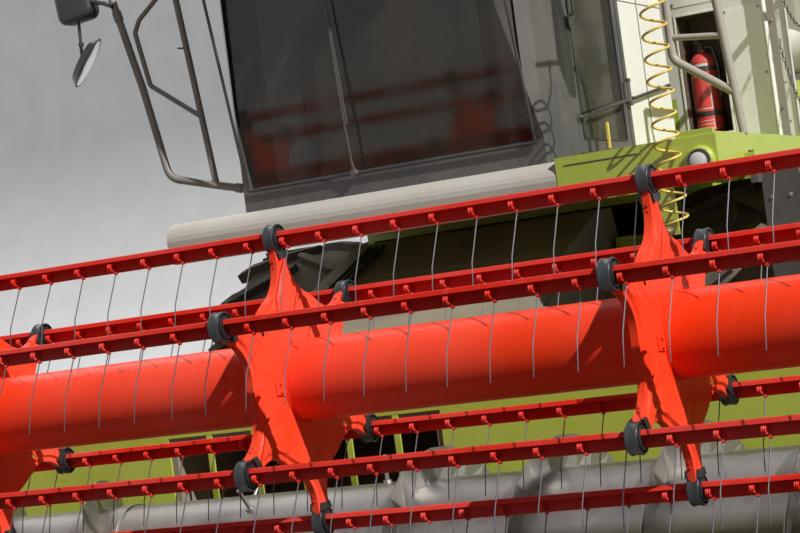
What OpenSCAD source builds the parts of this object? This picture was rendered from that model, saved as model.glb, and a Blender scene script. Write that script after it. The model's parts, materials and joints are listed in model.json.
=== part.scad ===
/* [Machine] */
// Distance from the front axle to the rear axle
wheelbase = 3750; // [3600:10:3900]
// How far the divider noses reach ahead of the front axle
nose_reach = 5150; // [5100:10:5300]
// How far the unloading tube reaches behind the front axle
tail_reach = 5950; // [5800:10:6100]
// Half the width over the body's side walls
body_half = 1450; // [1430:5:1470]
// Half the width of the threshing body between the front tyres
core_half = 840; // [800:5:860]
// Height of the walkway beside the cab
deck_z = 1985; // [1970:5:2030]

/* [Wheels] */
// Outer radius of a front tyre, over its lugs
front_r = 925; // [910:5:935]
// Width of a front tyre
front_w = 780; // [740:5:790]
// Outer radius of a rear tyre, over its lugs
rear_r = 655; // [640:5:665]
// Width of a rear tyre
rear_w = 480; // [460:5:500]
// Height of the tread lugs
lug_h = 48; // [40:1:52]
// Distance of a rear kingpin from the middle of the machine
kingpin_x = 950; // [940:5:970]

/* [Header] */
// Height of the reel's axis above the ground
reel_z = 1160; // [1150:5:1180]
// Distance of the reel's axis ahead of the front axle
reel_ahead = 4000; // [3980:5:4020]
// Distance between two of the reel's spiders
spider_pitch = 1500; // [1490:1:1505]
// Radius of the circle on which the tine bars are carried
reel_r = 538; // [530:1:545]
// Outer diameter of the reel's central tube
reel_tube_d = 306; // [290:1:320]
// Width of a spider's arms
spider_arm = 50; // [40:1:60]
// Radius of the round web between a spider's arms
spider_web = 340; // [320:5:360]
// Distance between two tines on a bar
tine_pitch = 158; // [150:1:165]
// Length of a tine below its bar
tine_len = 285; // [270:1:295]
// Radius of the intake auger over its flights
auger_r = 330; // [320:1:335]
// Distance between two knife sections
section_pitch = 76.2; // [75:0.1:77]

/* [Cab] */
// Half the width of the cab
cab_half = 885; // [870:1:888]
// Thickness of the cab's walls
cab_wall = 60; // [50:1:70]
// Height of the cab's roof line
cab_top = 3480; // [3450:5:3500]

/* [Hidden] */

lime = [0.60, 0.72, 0.13];
reel_red = [0.90, 0.16, 0.04];
pale = [0.86, 0.86, 0.82];
dark = [0.16, 0.17, 0.18];
steel = [0.55, 0.56, 0.58];

// Stations along the machine, measured back from the front axle, and the clearance at a seat
front_axle_y = (nose_reach - tail_reach) / 2;
seat_gap = 0.3;
reel_y = -reel_ahead;
knife_y = reel_y + 50;
knife_z = 119;
auger_y = reel_y + 850;
auger_z = 480;
trough_r = auger_r + 20;
sheet_t = 10;
back_y = auger_y + trough_r;
header_top = 1150;
feeder_half = 710;
feeder_pivot = [-600, 1500];
arm_pivot = [back_y + 60, 1290];
reel_foot = [back_y - 100, 760];
reel_eye = [back_y - 550, 1160];
lift_foot = [-100, 600];
lift_eye = [-1750, 600];
spiders = 6;
bars = 6;
bar_lead = 4.7;
reel_half = spider_pitch * (spiders - 1) / 2;
cut_half = reel_half + 80;
tine_lean = -20;
ring_r = 54;
ring_w = 44;
ring_bore = 38;
crank = [-30, -95];
star_at = [reel_y + crank[0], reel_z + crank[1]];
star_x = reel_half + 46;
arm_x = cut_half + 6;
arm_w = 60;
wheel_x = core_half + 115;
rear_wheel_x = kingpin_x + 60;
cab_back = 0;
cab_front = -1650;
lean = 300;
wall_y = 200;
tank_back = 2400;
hood_back = wheelbase + 550;
shell_top = 2350;
tank_top = 3600;
ladder_axis = [1776, -1470];
tank_half = 1380;
tube_pivot = [tank_half + 212, 620];
tube_r = 150;
tube_z = 3400;
hinge_z = tank_top + 18;
door_axis = [cab_half + 12, -636];

// A solid through rings of points, each ring with as many points as the next
module loft(rings) {
    n = len(rings[0]);
    m = len(rings);
    polyhedron(
        points = [for (r = rings) each r],
        faces = concat(
            [[for (i = [0 : n - 1]) i]],
            [for (j = [0 : m - 2]) for (i = [0 : n - 1]) each [
                [j * n + i, (j + 1) * n + (i + 1) % n, j * n + (i + 1) % n],
                [j * n + i, (j + 1) * n + i, (j + 1) * n + (i + 1) % n]]],
            [[for (i = [n - 1 : -1 : 0]) (m - 1) * n + i]]),
        convexity = 8);
}

// A path with each inner corner replaced by an arc of radius r, in n steps
function unit(v) = v / norm(v);
function turned(p, r, n) = [
    for (i = [0 : len(p) - 1])
        if (i == 0 || i == len(p) - 1) p[i]
        else let (
            a = unit(p[i - 1] - p[i]),
            b = unit(p[i + 1] - p[i]),
            half = acos(max(-1, min(1, a * b))) / 2,
            cut = r / tan(half),
            mid = unit(a + b),
            centre = p[i] + mid * (r / sin(half)),
            s = p[i] + a * cut - centre,
            e = p[i] + b * cut - centre,
            turn = 180 - 2 * half)
            each [for (k = [0 : n]) centre + (s * sin(turn * (1 - k / n)) + e * sin(turn * k / n)) / sin(turn)]];

// A round bar of diameter d swept along a path
function along(p, i) = unit(p[min(i + 1, len(p) - 1)] - p[max(i - 1, 0)]);
function side_of(t) = unit(cross(t, abs(t[2]) > 0.9 ? [1, 0, 0] : [0, 0, 1]));
function carried(p, i, u) = i == 0 ? side_of(along(p, 0))
    : let (last = carried(p, i - 1, u), t = along(p, i)) unit(last - t * (last * t));
module swept(p, d, sides = 8) {
    loft([for (i = [0 : len(p) - 1])
        let (t = along(p, i), u = carried(p, i, 0), v = cross(t, u))
        [for (k = [0 : sides - 1]) p[i] + (u * cos(360 * k / sides) + v * sin(360 * k / sides)) * d / 2]]);
}
module tube(p, d, r = 60, n = 4) { swept(turned(p, r, n), d); }

// A straight round bar between two points
module rod(p, q, d) {
    v = q - p;
    translate(p) rotate([0, acos(v[2] / norm(v)), atan2(v[1], v[0])]) cylinder(d = d, h = norm(v), $fn = 32);
}

// An outline in side view, as [y, z] points, drawn out across the machine from x0 to x1
module side_profile(pts, x0, x1) {
    translate([x0, 0, 0]) rotate([90, 0, 90]) linear_extrude(x1 - x0) polygon(pts);
}
// The same on both sides of the machine
module both_sides() {
    children();
    mirror([1, 0, 0]) children();
}
module rotate_about(y, z, a) { translate([0, y, z]) rotate([a, 0, 0]) translate([0, -y, -z]) children(); }
// A disc or tube whose axis lies across the machine
module across(y, z, x0, x1, r) {
    translate([x0, y, z]) rotate([0, 90, 0]) cylinder(r = r, h = x1 - x0, $fn = 64);
}
module block(x, y, z) {
    translate([x[0], y[0], z[0]]) cube([x[1] - x[0], y[1] - y[0], z[1] - z[0]]);
}
module from_axle() { translate([0, front_axle_y, 0]) children(); }
function arc(c, r, a0, a1, n) = [for (i = [0 : n]) c + r * [cos(a0 + (a1 - a0) * i / n), sin(a0 + (a1 - a0) * i / n)]];

// Wheels. Each is drawn with its inner face at x = 0 and its axis along X
module tyre(r, w, rim_r, lugs) {
    tread = r - lug_h;
    flank = (tread - rim_r);
    rotate([0, 90, 0]) rotate_extrude($fn = 96) polygon([
        [rim_r, 0.10 * w], [rim_r + 0.20 * flank, 0.02 * w], [rim_r + 0.55 * flank, 0],
        [rim_r + 0.85 * flank, 0.04 * w], [tread - 6, 0.12 * w], [tread, 0.3 * w], [tread + 4, 0.5 * w],
        [tread, 0.7 * w], [tread - 6, 0.88 * w], [rim_r + 0.85 * flank, 0.96 * w],
        [rim_r + 0.55 * flank, w], [rim_r + 0.20 * flank, 0.98 * w], [rim_r, 0.90 * w]]);
    intersection() {
        rotate([0, 90, 0]) rotate_extrude($fn = 96) polygon([
            [r - 300, 0.2 * w], [r - 112, 0.03 * w], [r - 34, 0], [r - 9, 0.1 * w], [r, 0.34 * w],
            [r, 0.66 * w], [r - 9, 0.9 * w], [r - 34, w], [r - 112, 0.97 * w], [r - 300, 0.8 * w]]);
        union() {
            for (i = [0 : lugs - 1]) {
                lug(r, w, 360 * i / lugs, 1);
                lug(r, w, 360 * (i + 0.5) / lugs, -1);
            }
        }
    }
}
// One chevron lug as a bar across half the tread, curved back towards the shoulder
module lug(r, w, a0, side) {
    rotate([a0 - 5, 0, 0]) translate([w / 2, 0, r * 0.89]) linear_extrude(r * 0.13)
        polygon([for (p = [[-0.03, 0.14], [0.17, 0.02], [0.36, -0.09], [0.56, -0.155],
            [0.56, -0.21], [0.36, -0.155], [0.17, -0.045], [-0.03, 0.085]]) [side * p[0] * w, p[1] * r]]);
}
module rim(rim_r, w, dish, hub_r) {
    r = rim_r - seat_gap;
    rotate([0, 90, 0]) difference() {
        rotate_extrude($fn = 96) polygon([
            [0, dish], [hub_r, dish], [hub_r + 40, dish - 30], [r - 130, dish - 30], [r - 60, dish + 30], [r - 40, 0.14 * w],
            [r - 14, 0.10 * w], [r, 0.10 * w], [r, 0.90 * w], [r - 14, 0.90 * w], [r - 40, 0.86 * w],
            [r - 40, dish + 60], [r - 110, dish - 8], [hub_r + 46, dish - 8], [hub_r, dish + 22], [0, dish + 22]]);
        for (a = [0 : 45 : 315]) rotate(a) translate([hub_r + (r - 150 - hub_r) / 2 + 30, 0, dish - 100])
            cylinder(r = (r - 200 - hub_r) / 3.2, h = 200, $fn = 32);
    }
}
module place_wheel(x, y, r) {
    from_axle() translate([x, y, r]) children();
}
module front_tyre_left() { color(dark) place_wheel(wheel_x, 0, front_r) tyre(front_r, front_w, 420, 18); }
module front_rim_left() { color(reel_red) place_wheel(wheel_x, 0, front_r) rim(420, front_w, 420, 190); }
module rear_tyre_left() { color(dark) place_wheel(rear_wheel_x, wheelbase, rear_r) tyre(rear_r, rear_w, 320, 16); }
module rear_rim_left() { color(reel_red) place_wheel(rear_wheel_x, wheelbase, rear_r) rim(320, rear_w, 200, 110); }

// Chassis
module chassis_frame() {
    color(dark) from_axle() {
        both_sides() {
            block([560, 640], [-500, wheelbase - 1050], [820, 1000]);
            across(0, front_r, 640, core_half + 40, 230);
            across(0, front_r, core_half + 40, wheel_x + 420 - seat_gap, 95);
            side_profile([[wheelbase - 1050, 1000], [wheelbase - 1050, 820], [wheelbase - 300, 1200], [hood_back - 100, 1200], [hood_back - 100, 1350 - seat_gap],
                [wheelbase - 890, 1350 - seat_gap], [wheelbase - 890, 1000 - seat_gap]], 560, 640);
            for (x = [338, 482]) side_profile([[-150, 850], [-150, 640], [-130, 560], [-70, 560], [-50, 640], [60, 850]], x, x + 20);
            across(lift_foot[0], lift_foot[1], 338, 502, 25);
        }
        difference() {
            side_profile([[wheelbase + 280, 1250], [wheelbase + 280, 930], [wheelbase + 400, 870], [wheelbase + 500, 870], [wheelbase + 500, 910], [wheelbase + 350, 951], [wheelbase + 350, 1250]], -60, 60);
            translate([0, wheelbase + 440, 800]) cylinder(r = 16, h = 200, $fn = 48);
            block([-100, 100], [wheelbase + 380, wheelbase + 520], [910, 1000]);
        }
        for (y = [-500, 900, wheelbase - 1250]) block([-560, 560], [y, y + 120], [840, 980]);
        across(0, front_r, -640, 640, 120);
        side_profile([[-150, 830], [150, 830], [180, 960], [100, 1000 - seat_gap], [-100, 1000 - seat_gap], [-180, 960]], -560, 560);
        block([-560, 560], [wheelbase - 350, wheelbase - 270], [1210, 1350 - seat_gap]);
        block([-560, 560], [wheelbase + 270, wheelbase + 350], [1210, 1350 - seat_gap]);
        side_profile([[wheelbase - 350, 1350 - seat_gap], [wheelbase - 160, rear_r + 160], [wheelbase + 160, rear_r + 160], [wheelbase + 350, 1350 - seat_gap]], -60, 60);
    }
}
module rear_axle() {
    color(dark) from_axle() {
        side_profile([[wheelbase - 75, rear_r - 90], [wheelbase + 75, rear_r - 90], [wheelbase + 75, rear_r + 90], [wheelbase - 75, rear_r + 90]], -kingpin_x + 110, kingpin_x - 110);
        side_profile([[wheelbase - 120, rear_r + 90], [wheelbase + 120, rear_r + 90], [wheelbase + 120, rear_r + 160 - seat_gap], [wheelbase - 120, rear_r + 160 - seat_gap]], -150, 150);
        both_sides() difference() {
            union() {
                block([kingpin_x - 110, kingpin_x], [wheelbase - 70, wheelbase + 70], [rear_r - 175, rear_r - 115]);
                block([kingpin_x - 110, kingpin_x], [wheelbase - 70, wheelbase + 70], [rear_r + 115, rear_r + 175]);
                block([kingpin_x - 140, kingpin_x - 90], [wheelbase - 70, wheelbase + 70], [rear_r - 175, rear_r + 175]);
            }
            translate([kingpin_x, wheelbase, 0]) cylinder(r = 30 + seat_gap, h = 2000, $fn = 48);
        }
    }
}
// A rear knuckle: kingpin barrel, stub axle and steering arm
module knuckle_left() {
    color(dark) from_axle() {
        translate([kingpin_x, wheelbase, rear_r - 112]) cylinder(r = 48, h = 224, $fn = 48);
        translate([kingpin_x, wheelbase, rear_r - 180]) cylinder(r = 30, h = 360, $fn = 48);
        across(wheelbase, rear_r, kingpin_x, rear_wheel_x + 200 - seat_gap, 60);
        difference() {
            block([kingpin_x - 26, kingpin_x + 26], [wheelbase, wheelbase + 262], [rear_r - 40, rear_r - 10]);
            translate([kingpin_x, wheelbase + 230, 0]) cylinder(r = 14 + seat_gap, h = 2000, $fn = 48);
        }
    }
}
module tie_rod() {
    color(steel) from_axle() {
        rod([-kingpin_x, wheelbase + 230, rear_r + 14], [kingpin_x, wheelbase + 230, rear_r + 14], 36);
        both_sides() translate([kingpin_x, wheelbase + 230, rear_r - 44]) cylinder(r = 14, h = 60, $fn = 48);
        both_sides() translate([kingpin_x, wheelbase + 230, rear_r - 8]) cylinder(r = 27, h = 44, $fn = 48);
    }
}

// Body
module body_shell() {
    color(lime) from_axle() {
        difference() {
            union() {
                side_profile([[-450, 1000], [wheelbase - 890, 1000], [wheelbase - 890, 1350], [hood_back, 1350], [hood_back, shell_top], [wall_y, shell_top],
                    [wall_y, 1840], [-420, 1840]], -core_half, core_half);
                both_sides() side_profile([[1080, 1300], [wheelbase - 1000, 1300], [wheelbase - 750, 1480], [hood_back, 1480],
                    [hood_back, shell_top], [1080, shell_top]], core_half - 1, body_half);
            }
            side_profile([[-500, 1180], [-300, 1180], [-280, 1160], [280, 1160], [330, 1040], [wheelbase - 930, 1040], [wheelbase - 930, 1390], [hood_back + 10, 1390], [hood_back + 10, shell_top - 40],
                [wall_y + 40, shell_top - 40], [wall_y + 40, 1800], [-500, 1800]], -core_half + 40, core_half - 40);
            both_sides() side_profile([[1120, 1340], [wheelbase - 1015, 1340], [wheelbase - 765, 1520], [hood_back - 40, 1520],
                [hood_back - 40, shell_top - 40], [1120, shell_top - 40]], core_half + 40, body_half + 1);
            both_sides() across(0, front_r, 600, 900, 230 + seat_gap);
            across(0, front_r, -650, 650, 120 + seat_gap);
        }
        both_sides() difference() {
            block([744, core_half], [feeder_pivot[0] - 100, -400], [feeder_pivot[1] - 110, feeder_pivot[1] + 120]);
            across(feeder_pivot[0], feeder_pivot[1], 700, 900, 60 + seat_gap);
        }
    }
}
module side_panels() {
    color(lime) from_axle() both_sides() side_profile(concat(
        [[wall_y + 60 + seat_gap, deck_z - 60]], [[820, deck_z - 60], [1010, 1700], [1060, 1180], [wheelbase - 1050, 1140]],
        arc([wheelbase, rear_r], 900, 145, 40, 8),
        [[hood_back + 400, 1300], [hood_back + 480, 1500], [hood_back + 400, 2150], [hood_back, shell_top], [wall_y + 60 + seat_gap, shell_top]]), body_half, body_half + 45);
}
module grain_tank() {
    color(pale) from_axle() {
        difference() {
            union() {
                block([-tank_half, tank_half], [wall_y, tank_back], [shell_top + seat_gap, tank_top]);
                block([-body_half - 50, body_half + 50], [wall_y, wall_y + 60], [shell_top + seat_gap, tank_top]);
                both_sides() block([core_half + seat_gap, body_half + 50], [wall_y, wall_y + 60], [deck_z - 60, shell_top + 1]);
                block([core_half + seat_gap, 1200], [wall_y, wall_y + 260], [deck_z - 60, shell_top + 1]);
            }
            loft([
                [for (c = [[-1, 0], [1, 0], [1, 1], [-1, 1]]) [c[0] * 500, 900 + c[1] * 900, shell_top + 120]],
                [for (c = [[-1, 0], [1, 0], [1, 1], [-1, 1]]) [c[0] * (tank_half - 40), wall_y + 60 + c[1] * (tank_back - wall_y - 120), 2900]],
                [for (c = [[-1, 0], [1, 0], [1, 1], [-1, 1]]) [c[0] * (tank_half - 40), wall_y + 60 + c[1] * (tank_back - wall_y - 120), tank_top + 10]]]);
            block([896, 1143], [wall_y - 10, wall_y + 200], [2130, 2789]);
        }
        // the riser that carries the unloading tube
        translate([tube_pivot[0], tube_pivot[1], shell_top + 60]) cylinder(r = tube_r, h = 600, $fn = 64);
        rod([tank_half - 60, tube_pivot[1], shell_top + 200], [tube_pivot[0], tube_pivot[1], shell_top + 200], 280);
        block([tank_half - 20, tube_pivot[0]], [tube_pivot[1] - 60, tube_pivot[1] + 60], [shell_top + 280, shell_top + 630]);
        both_sides() for (y = [500, 1300, 2100]) {
            block([tank_half - 38, tank_half - 8], [y - 60, y - 30], [tank_top - 60, hinge_z + 14]);
            rod([tank_half - 24, y - 50, hinge_z], [tank_half - 24, y + 20, hinge_z], 16);
        }
    }
}
module tank_cover_left() {
    color(dark) from_axle() side_cover();
}
module side_cover() {
    x = tank_half - 24;
    difference() {
        union() {
            translate([0, tank_back, 0]) rotate([90, 0, 0]) linear_extrude(tank_back - wall_y)
                polygon([[4, tank_top + 200], [x - 60, tank_top + 6], [x + 2, tank_top + 6], [x + 2, tank_top + 24], [4, tank_top + 226]]);
            for (y = [500, 1300, 2100]) rod([x, y - 24, hinge_z], [x, y + 30, hinge_z], 26);
        }
        for (y = [500, 1300, 2100]) {
            translate([x, y - 80, hinge_z]) rotate([-90, 0, 0]) cylinder(r = 8 + seat_gap, h = 120, $fn = 32);
            block([x - 40, x + 40], [y - 70, y - 24], [tank_top - 20, tank_top + 60]);
        }
    }
}
module tank_cover_right() {
    color(dark) from_axle() mirror([1, 0, 0]) side_cover();
}
module engine_hood() {
    color(pale) from_axle() difference() {
        side_profile([[tank_back, shell_top], [hood_back + 100, shell_top], [hood_back + 100, 2700], [hood_back - 100, 3250], [tank_back, 3400]], -1300, 1300);
        side_profile([[tank_back + 60, shell_top - 10], [hood_back + 40, shell_top - 10], [hood_back + 40, 2680], [hood_back - 150, 3190], [tank_back + 60, 3340]], -1240, 1240);
        for (i = [0 : 7]) block([1200, 1320], [tank_back + 300, hood_back - 300], [2480 + i * 90, 2530 + i * 90]);
        for (i = [0 : 7]) block([-1320, -1200], [tank_back + 300, hood_back - 300], [2480 + i * 90, 2530 + i * 90]);
    }
}
module engine_block() {
    color(dark) from_axle() block([-700, 700], [tank_back + 300, hood_back - 600], [shell_top, 3200]);
}
module straw_hood() {
    color(lime) from_axle() difference() {
        side_profile(concat([[hood_back, 1350], [hood_back, shell_top]], [[hood_back + 100, shell_top]], arc([hood_back + 800, 1850], 400, 90, 0, 6), [[hood_back + 1150, 1250], [hood_back + 600, 1050]]), -core_half, core_half);
        side_profile([[hood_back + 400, 900], [hood_back + 1090, 900], [hood_back + 1140, 1850], [hood_back + 900, 2100], [hood_back + 400, 1900]], -core_half + 40, core_half - 40);
    }
}

// Walkway, step and rails
module platform() {
    color(lime) from_axle() {
        block([cab_half + 20, 1750], [cab_front, wall_y - seat_gap], [deck_z - 40, deck_z]);
        block([cab_half + 80, 1750], [-1840, cab_front + 1], [deck_z - 40, deck_z]);
        block([cab_half + 80, 1750], [-1850, -1820], [deck_z - 160, deck_z]);
        block([1725, 1750], [-1820, wall_y - seat_gap], [deck_z - 160, deck_z - 39]);
        block([core_half - 120, 1750], [-60, 0], [deck_z - 105, deck_z - 40 - seat_gap]);
        block([core_half - 120, cab_half + 21], [-60, wall_y - seat_gap], [deck_z - 144.7, deck_z - 60]);
        block([-cab_half, cab_half + 21], [cab_front, -420], [deck_z - 120, deck_z - 40 - seat_gap]);
        block([-600, 600], [-419, -380], [deck_z - 144.7, deck_z - 60]);
        // the plate that holds the hose's coupling
        block([1430, 1520], [-1840, -1832], [1560, 1880]);
        // the ladder's hinge bracket
        difference() {
            block([1740, ladder_axis[0] + 24], [ladder_axis[1] - 30, ladder_axis[1] + 30], [deck_z - 158, deck_z - 90]);
            translate([ladder_axis[0], ladder_axis[1], deck_z - 170]) cylinder(r = 14 + seat_gap, h = 100, $fn = 48);
        }
    }
}
module cab_step() {
    color([0.62, 0.63, 0.6]) from_axle() side_profile(concat(
        [[cab_front - seat_gap, deck_z - 20], [-1760, deck_z - 8]], arc([-1760, deck_z - 100], 92, 90, 180, 6), [[-1840, deck_z - 200], [-1800, deck_z - 215], [cab_front - seat_gap, deck_z - 118]]), -1210, cab_half + 74);
}
module railings() {
    color(pale) from_axle() {
        // the grab hoop beside the ladder
        tube([[1740, -1430, deck_z + 2], [1660, -1430, 3020], [1448, -1430, 3020], [1446, -1430, 2381], [1722, -1430, 2183]], 40, 70, 5);
        rod([1450, -1430, 2484], [1700, -1430, 2452], 30);
        tube([[1735, -750, deck_z + seat_gap], [1735, -750, 2980], [1735, 120, 2980], [1735, 120, deck_z + seat_gap]], 38, 90, 5);
        rod([1735, -750, 2500], [1735, 120, 2500], 30);
        // the tubes that carry the right mirror
        tube([[-cab_half + 17, -1560, 2110], [-1037, -1600, 2156], [-1310, -1600, 2230], [-1406, -1600, 2717], [-1529, -1600, 3211]], 40, 90, 4);
        tube([[-1030, -1600, 2152], [-1155, -1600, 3330], [-1080, -1600, 3500], [-cab_half - 40 - seat_gap, -1600, 3500]], 34, 50, 4);
        tube([[-1146, -1600, 3245], [-1376, -1600, 3076], [-1412, -1600, 3014], [-1357, -1600, 2727], [-1074, -1600, 2519]], 26, 40, 3);
        // the arm that carries the coiled hose
        tube([[1600, -1430, 3020], [1590, -1640, 3075], [1575, -1930, 3075]], 20, 60, 4);
    }
}

// Cab
module cab_solid(t) {
    intersection() {
        side_profile([[cab_front + t, deck_z - 40 + t], [cab_front + t, deck_z + 120], [cab_front - lean + t, cab_top - t], [cab_back - t, cab_top - t], [cab_back - t, deck_z - 40 + t]], -cab_half + t, cab_half - t);
        translate([0, 0, deck_z - 100]) linear_extrude(2000) polygon(concat([[700 - t, cab_back - t], [cab_half - t, -330]],
            [[cab_half - t, -1400], [cab_half - 35 - t, -1640], [620, cab_front - lean + t]], [[-620, cab_front - lean + t], [-cab_half + 35 + t, -1640], [-cab_half + t, -1400]],
            [[-cab_half + t, -330], [-700 + t, cab_back - t]]));
    }
}
module windscreen_cut(g) { block([-800 + g, 800 - g], [-2100, -1400], [deck_z + 110 + g, cab_top - 90 - g]); }
module side_cut(g) { block([-cab_half - 100, -cab_half + 200], [-1330 + g, -400 - g], [deck_z + 160 + g, cab_top - 110 - g]); }
module rear_cut(g) { block([-600 + g, 600 - g], [cab_back - 200, cab_back + 100], [deck_z + 700 + g, cab_top - 110 - g]); }
module door_cut(g) { block([cab_half - 200, cab_half + 100], [-1330 + g, -640 - g], [deck_z + 40 + g, cab_top - 90 - g]); }
module cab_frame() {
    color(dark) from_axle() {
        difference() {
            cab_solid(0);
            cab_solid(cab_wall);
            windscreen_cut(0);
            side_cut(0);
            rear_cut(0);
            door_cut(0);
            block([-2000, 2000], [-2300, 500], [cab_top - cab_wall, cab_top + 10]);
            for (z = [2300, 3000]) block([cab_half - 8, cab_half + 30], [door_axis[1] - 6, door_axis[1] + 16], [z - seat_gap, z + 100 + seat_gap]);
        }
        for (z = [2300, 3000]) for (h = [-20, 100 + seat_gap]) block([cab_half - 30, cab_half + 22], [door_axis[1] - 10, door_axis[1] + 22], [z + h, z + h + 20 - seat_gap]);
        for (z = [2300, 3000]) translate([door_axis[0], door_axis[1], z - 20]) cylinder(r = 7, h = 140, $fn = 32);
    }
}
module cab_glass() {
    color([0.2, 0.24, 0.25, 0.5]) from_axle() {
        for (cut = [0 : 2]) intersection() {
            difference() { cab_solid(20); cab_solid(32); }
            if (cut == 0) windscreen_cut(seat_gap);
            if (cut == 1) side_cut(seat_gap);
            if (cut == 2) rear_cut(seat_gap);
        }
    }
}
module cab_roof() {
    color(pale) from_axle() side_profile(concat([[cab_back + 60, cab_top - cab_wall + seat_gap], [cab_back + 60, cab_top + 120]], [[-400, cab_top + 250], [-1600, cab_top + 230]],
        arc([-2050, cab_top + 110], 100, 80, 200, 6), [[-2000, cab_top - cab_wall + seat_gap]]), -cab_half - 40, cab_half + 40);
}
module cab_door() {
    color(dark) from_axle() {
        difference() {
            intersection() { difference() { cab_solid(2); cab_solid(cab_wall - 10); } door_cut(6); }
            block([cab_half - 200, cab_half + 100], [-1260, -710], [deck_z + 120, cab_top - 160]);
        }
        for (z = [2300, 3000]) difference() {
            union() {
                translate([door_axis[0], door_axis[1], z + seat_gap]) cylinder(r = 13, h = 100 - seat_gap, $fn = 48);
                block([cab_half - 4, door_axis[0]], [-680, door_axis[1]], [z + seat_gap, z + 100]);
            }
            translate([door_axis[0], door_axis[1], z - 1]) cylinder(r = 7 + seat_gap, h = 110, $fn = 48);
        }
    }
}
module door_glass() {
    color([0.2, 0.24, 0.25, 0.5]) from_axle() intersection() {
        difference() { cab_solid(22); cab_solid(32); }
        block([cab_half - 200, cab_half + 100], [-1260 + seat_gap, -710 - seat_gap], [deck_z + 120 + seat_gap, cab_top - 160 - seat_gap]);
    }
}
module operator_seat() {
    color(dark) from_axle() {
        block([-260, 260], [-800, -300], [2440, 2560]);
        block([-240, 240], [-320, -200], [2560, 3160]);
        block([-200, 200], [-740, -340], [deck_z + 20 + seat_gap, 2441]);
    }
}
module cab_controls() {
    color(dark) from_axle() {
        block([-70, 70], [-1310, -1180], [deck_z + 20 + seat_gap, deck_z + 50]);
        rod([0, -1250, deck_z + 34], [0, -1073, 2650], 90);
        translate([0, -1065, 2660]) rotate([-20, 0, 0]) rotate_extrude($fn = 64) translate([190, 0]) circle(r = 15, $fn = 24);
        translate([0, -1065, 2660]) rotate([-20, 0, 0]) translate([-190, -20, -10]) cube([380, 40, 20]);
        block([300, 460], [-900, -350], [2500, 2600]);
        block([340, 420], [-700, -500], [deck_z + 20 + seat_gap, 2501]);
    }
}
module mirrors() {
    color(dark) from_axle() {
        translate([-1760, -1620, 3330]) rotate([0, -6, 0]) block([-110, 110], [-45, 45], [-200, 200]);
        rod([-1529 + 20, -1632.4, 3170], [-1700, -1632.4, 3240], 24);
        rod([-1745, -1620, 3150], [-1752, -1620, 2930], 18);
        translate([-1732, -1620, 2917]) rotate([0, 124, 29]) cylinder(r1 = 120, r2 = 145, h = 36, center = true, $fn = 48);
        translate([1720, -1700, 3280]) rotate([0, 6, 0]) block([-110, 110], [-45, 45], [-200, 200]);
        rod([cab_half + 42, -1700, 3490], [1700, -1700, 3400], 26);
    }
}
module lamps() {
    color([0.9, 0.9, 0.85]) from_axle() {
        both_sides() for (x = [250, 480, 710]) translate([x, -2150 - seat_gap, cab_top + 110]) rotate([90, 0, 0]) cylinder(r = 65, h = 40, $fn = 48);
        translate([1646, -1850 - seat_gap, deck_z - 90]) rotate([90, 0, 0]) cylinder(r = 52, h = 40, $fn = 48);
    }
}
module extinguisher() {
    color([0.8, 0.1, 0.1]) from_axle() translate([985, wall_y + 100, 2130 + seat_gap]) {
        cylinder(r = 78, h = 420, $fn = 48);
        translate([0, 0, 420]) cylinder(r1 = 78, r2 = 30, h = 50, $fn = 48);
        translate([0, 0, 470]) cylinder(r = 24, h = 60, $fn = 48);
    }
}
hose_line = [[1575, -1915, 3040], [1560, -1915, 2600], [1545, -1915, 2100], [1535, -1915, 1600]];
module air_hose() {
    color([0.85, 0.7, 0.2]) from_axle() swept(hose_line, 110, 12);
}
module boarding_ladder() {
    color(dark) from_axle() {
        for (y = [ladder_axis[1] + 50, ladder_axis[1] + 640]) side_profile([[y, 470], [y + 30, 470], [y + 30, deck_z - 175], [y, deck_z - 175]], 1790, 1970);
        for (z = [500 : 290 : 1700]) block([1790, 1970], [ladder_axis[1] + 60, ladder_axis[1] + 660], [z, z + 40]);
        difference() {
            block([1762, 1796], [ladder_axis[1] - 16, ladder_axis[1] + 60], [deck_z - 230, deck_z - 175]);
        }
        translate([ladder_axis[0], ladder_axis[1], deck_z - 230]) cylinder(r = 14, h = 150, $fn = 48);
    }
}
module unloading_auger() {
    color(pale) from_axle() {
        translate([tube_pivot[0], tube_pivot[1], shell_top + 660 + seat_gap]) cylinder(r = tube_r + 20, h = tube_z - shell_top - 660 - seat_gap, $fn = 64);
        translate([tube_pivot[0], tube_pivot[1], tube_z]) sphere(r = tube_r + 20, $fn = 64);
        translate([tube_pivot[0], 0, tube_z]) rotate([-90, 0, 0]) translate([0, 0, tube_pivot[1]]) cylinder(r = tube_r, h = tail_reach - 260 - tube_pivot[1], $fn = 64);
        side_profile([[tail_reach - 500, tube_z + 160], [tail_reach - 150, tube_z + 150], [tail_reach, tube_z - 60], [tail_reach - 60, tube_z - 260],
            [tail_reach - 300, tube_z - 180]], tube_pivot[0] - 140, tube_pivot[0] + 140);
    }
}

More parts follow.
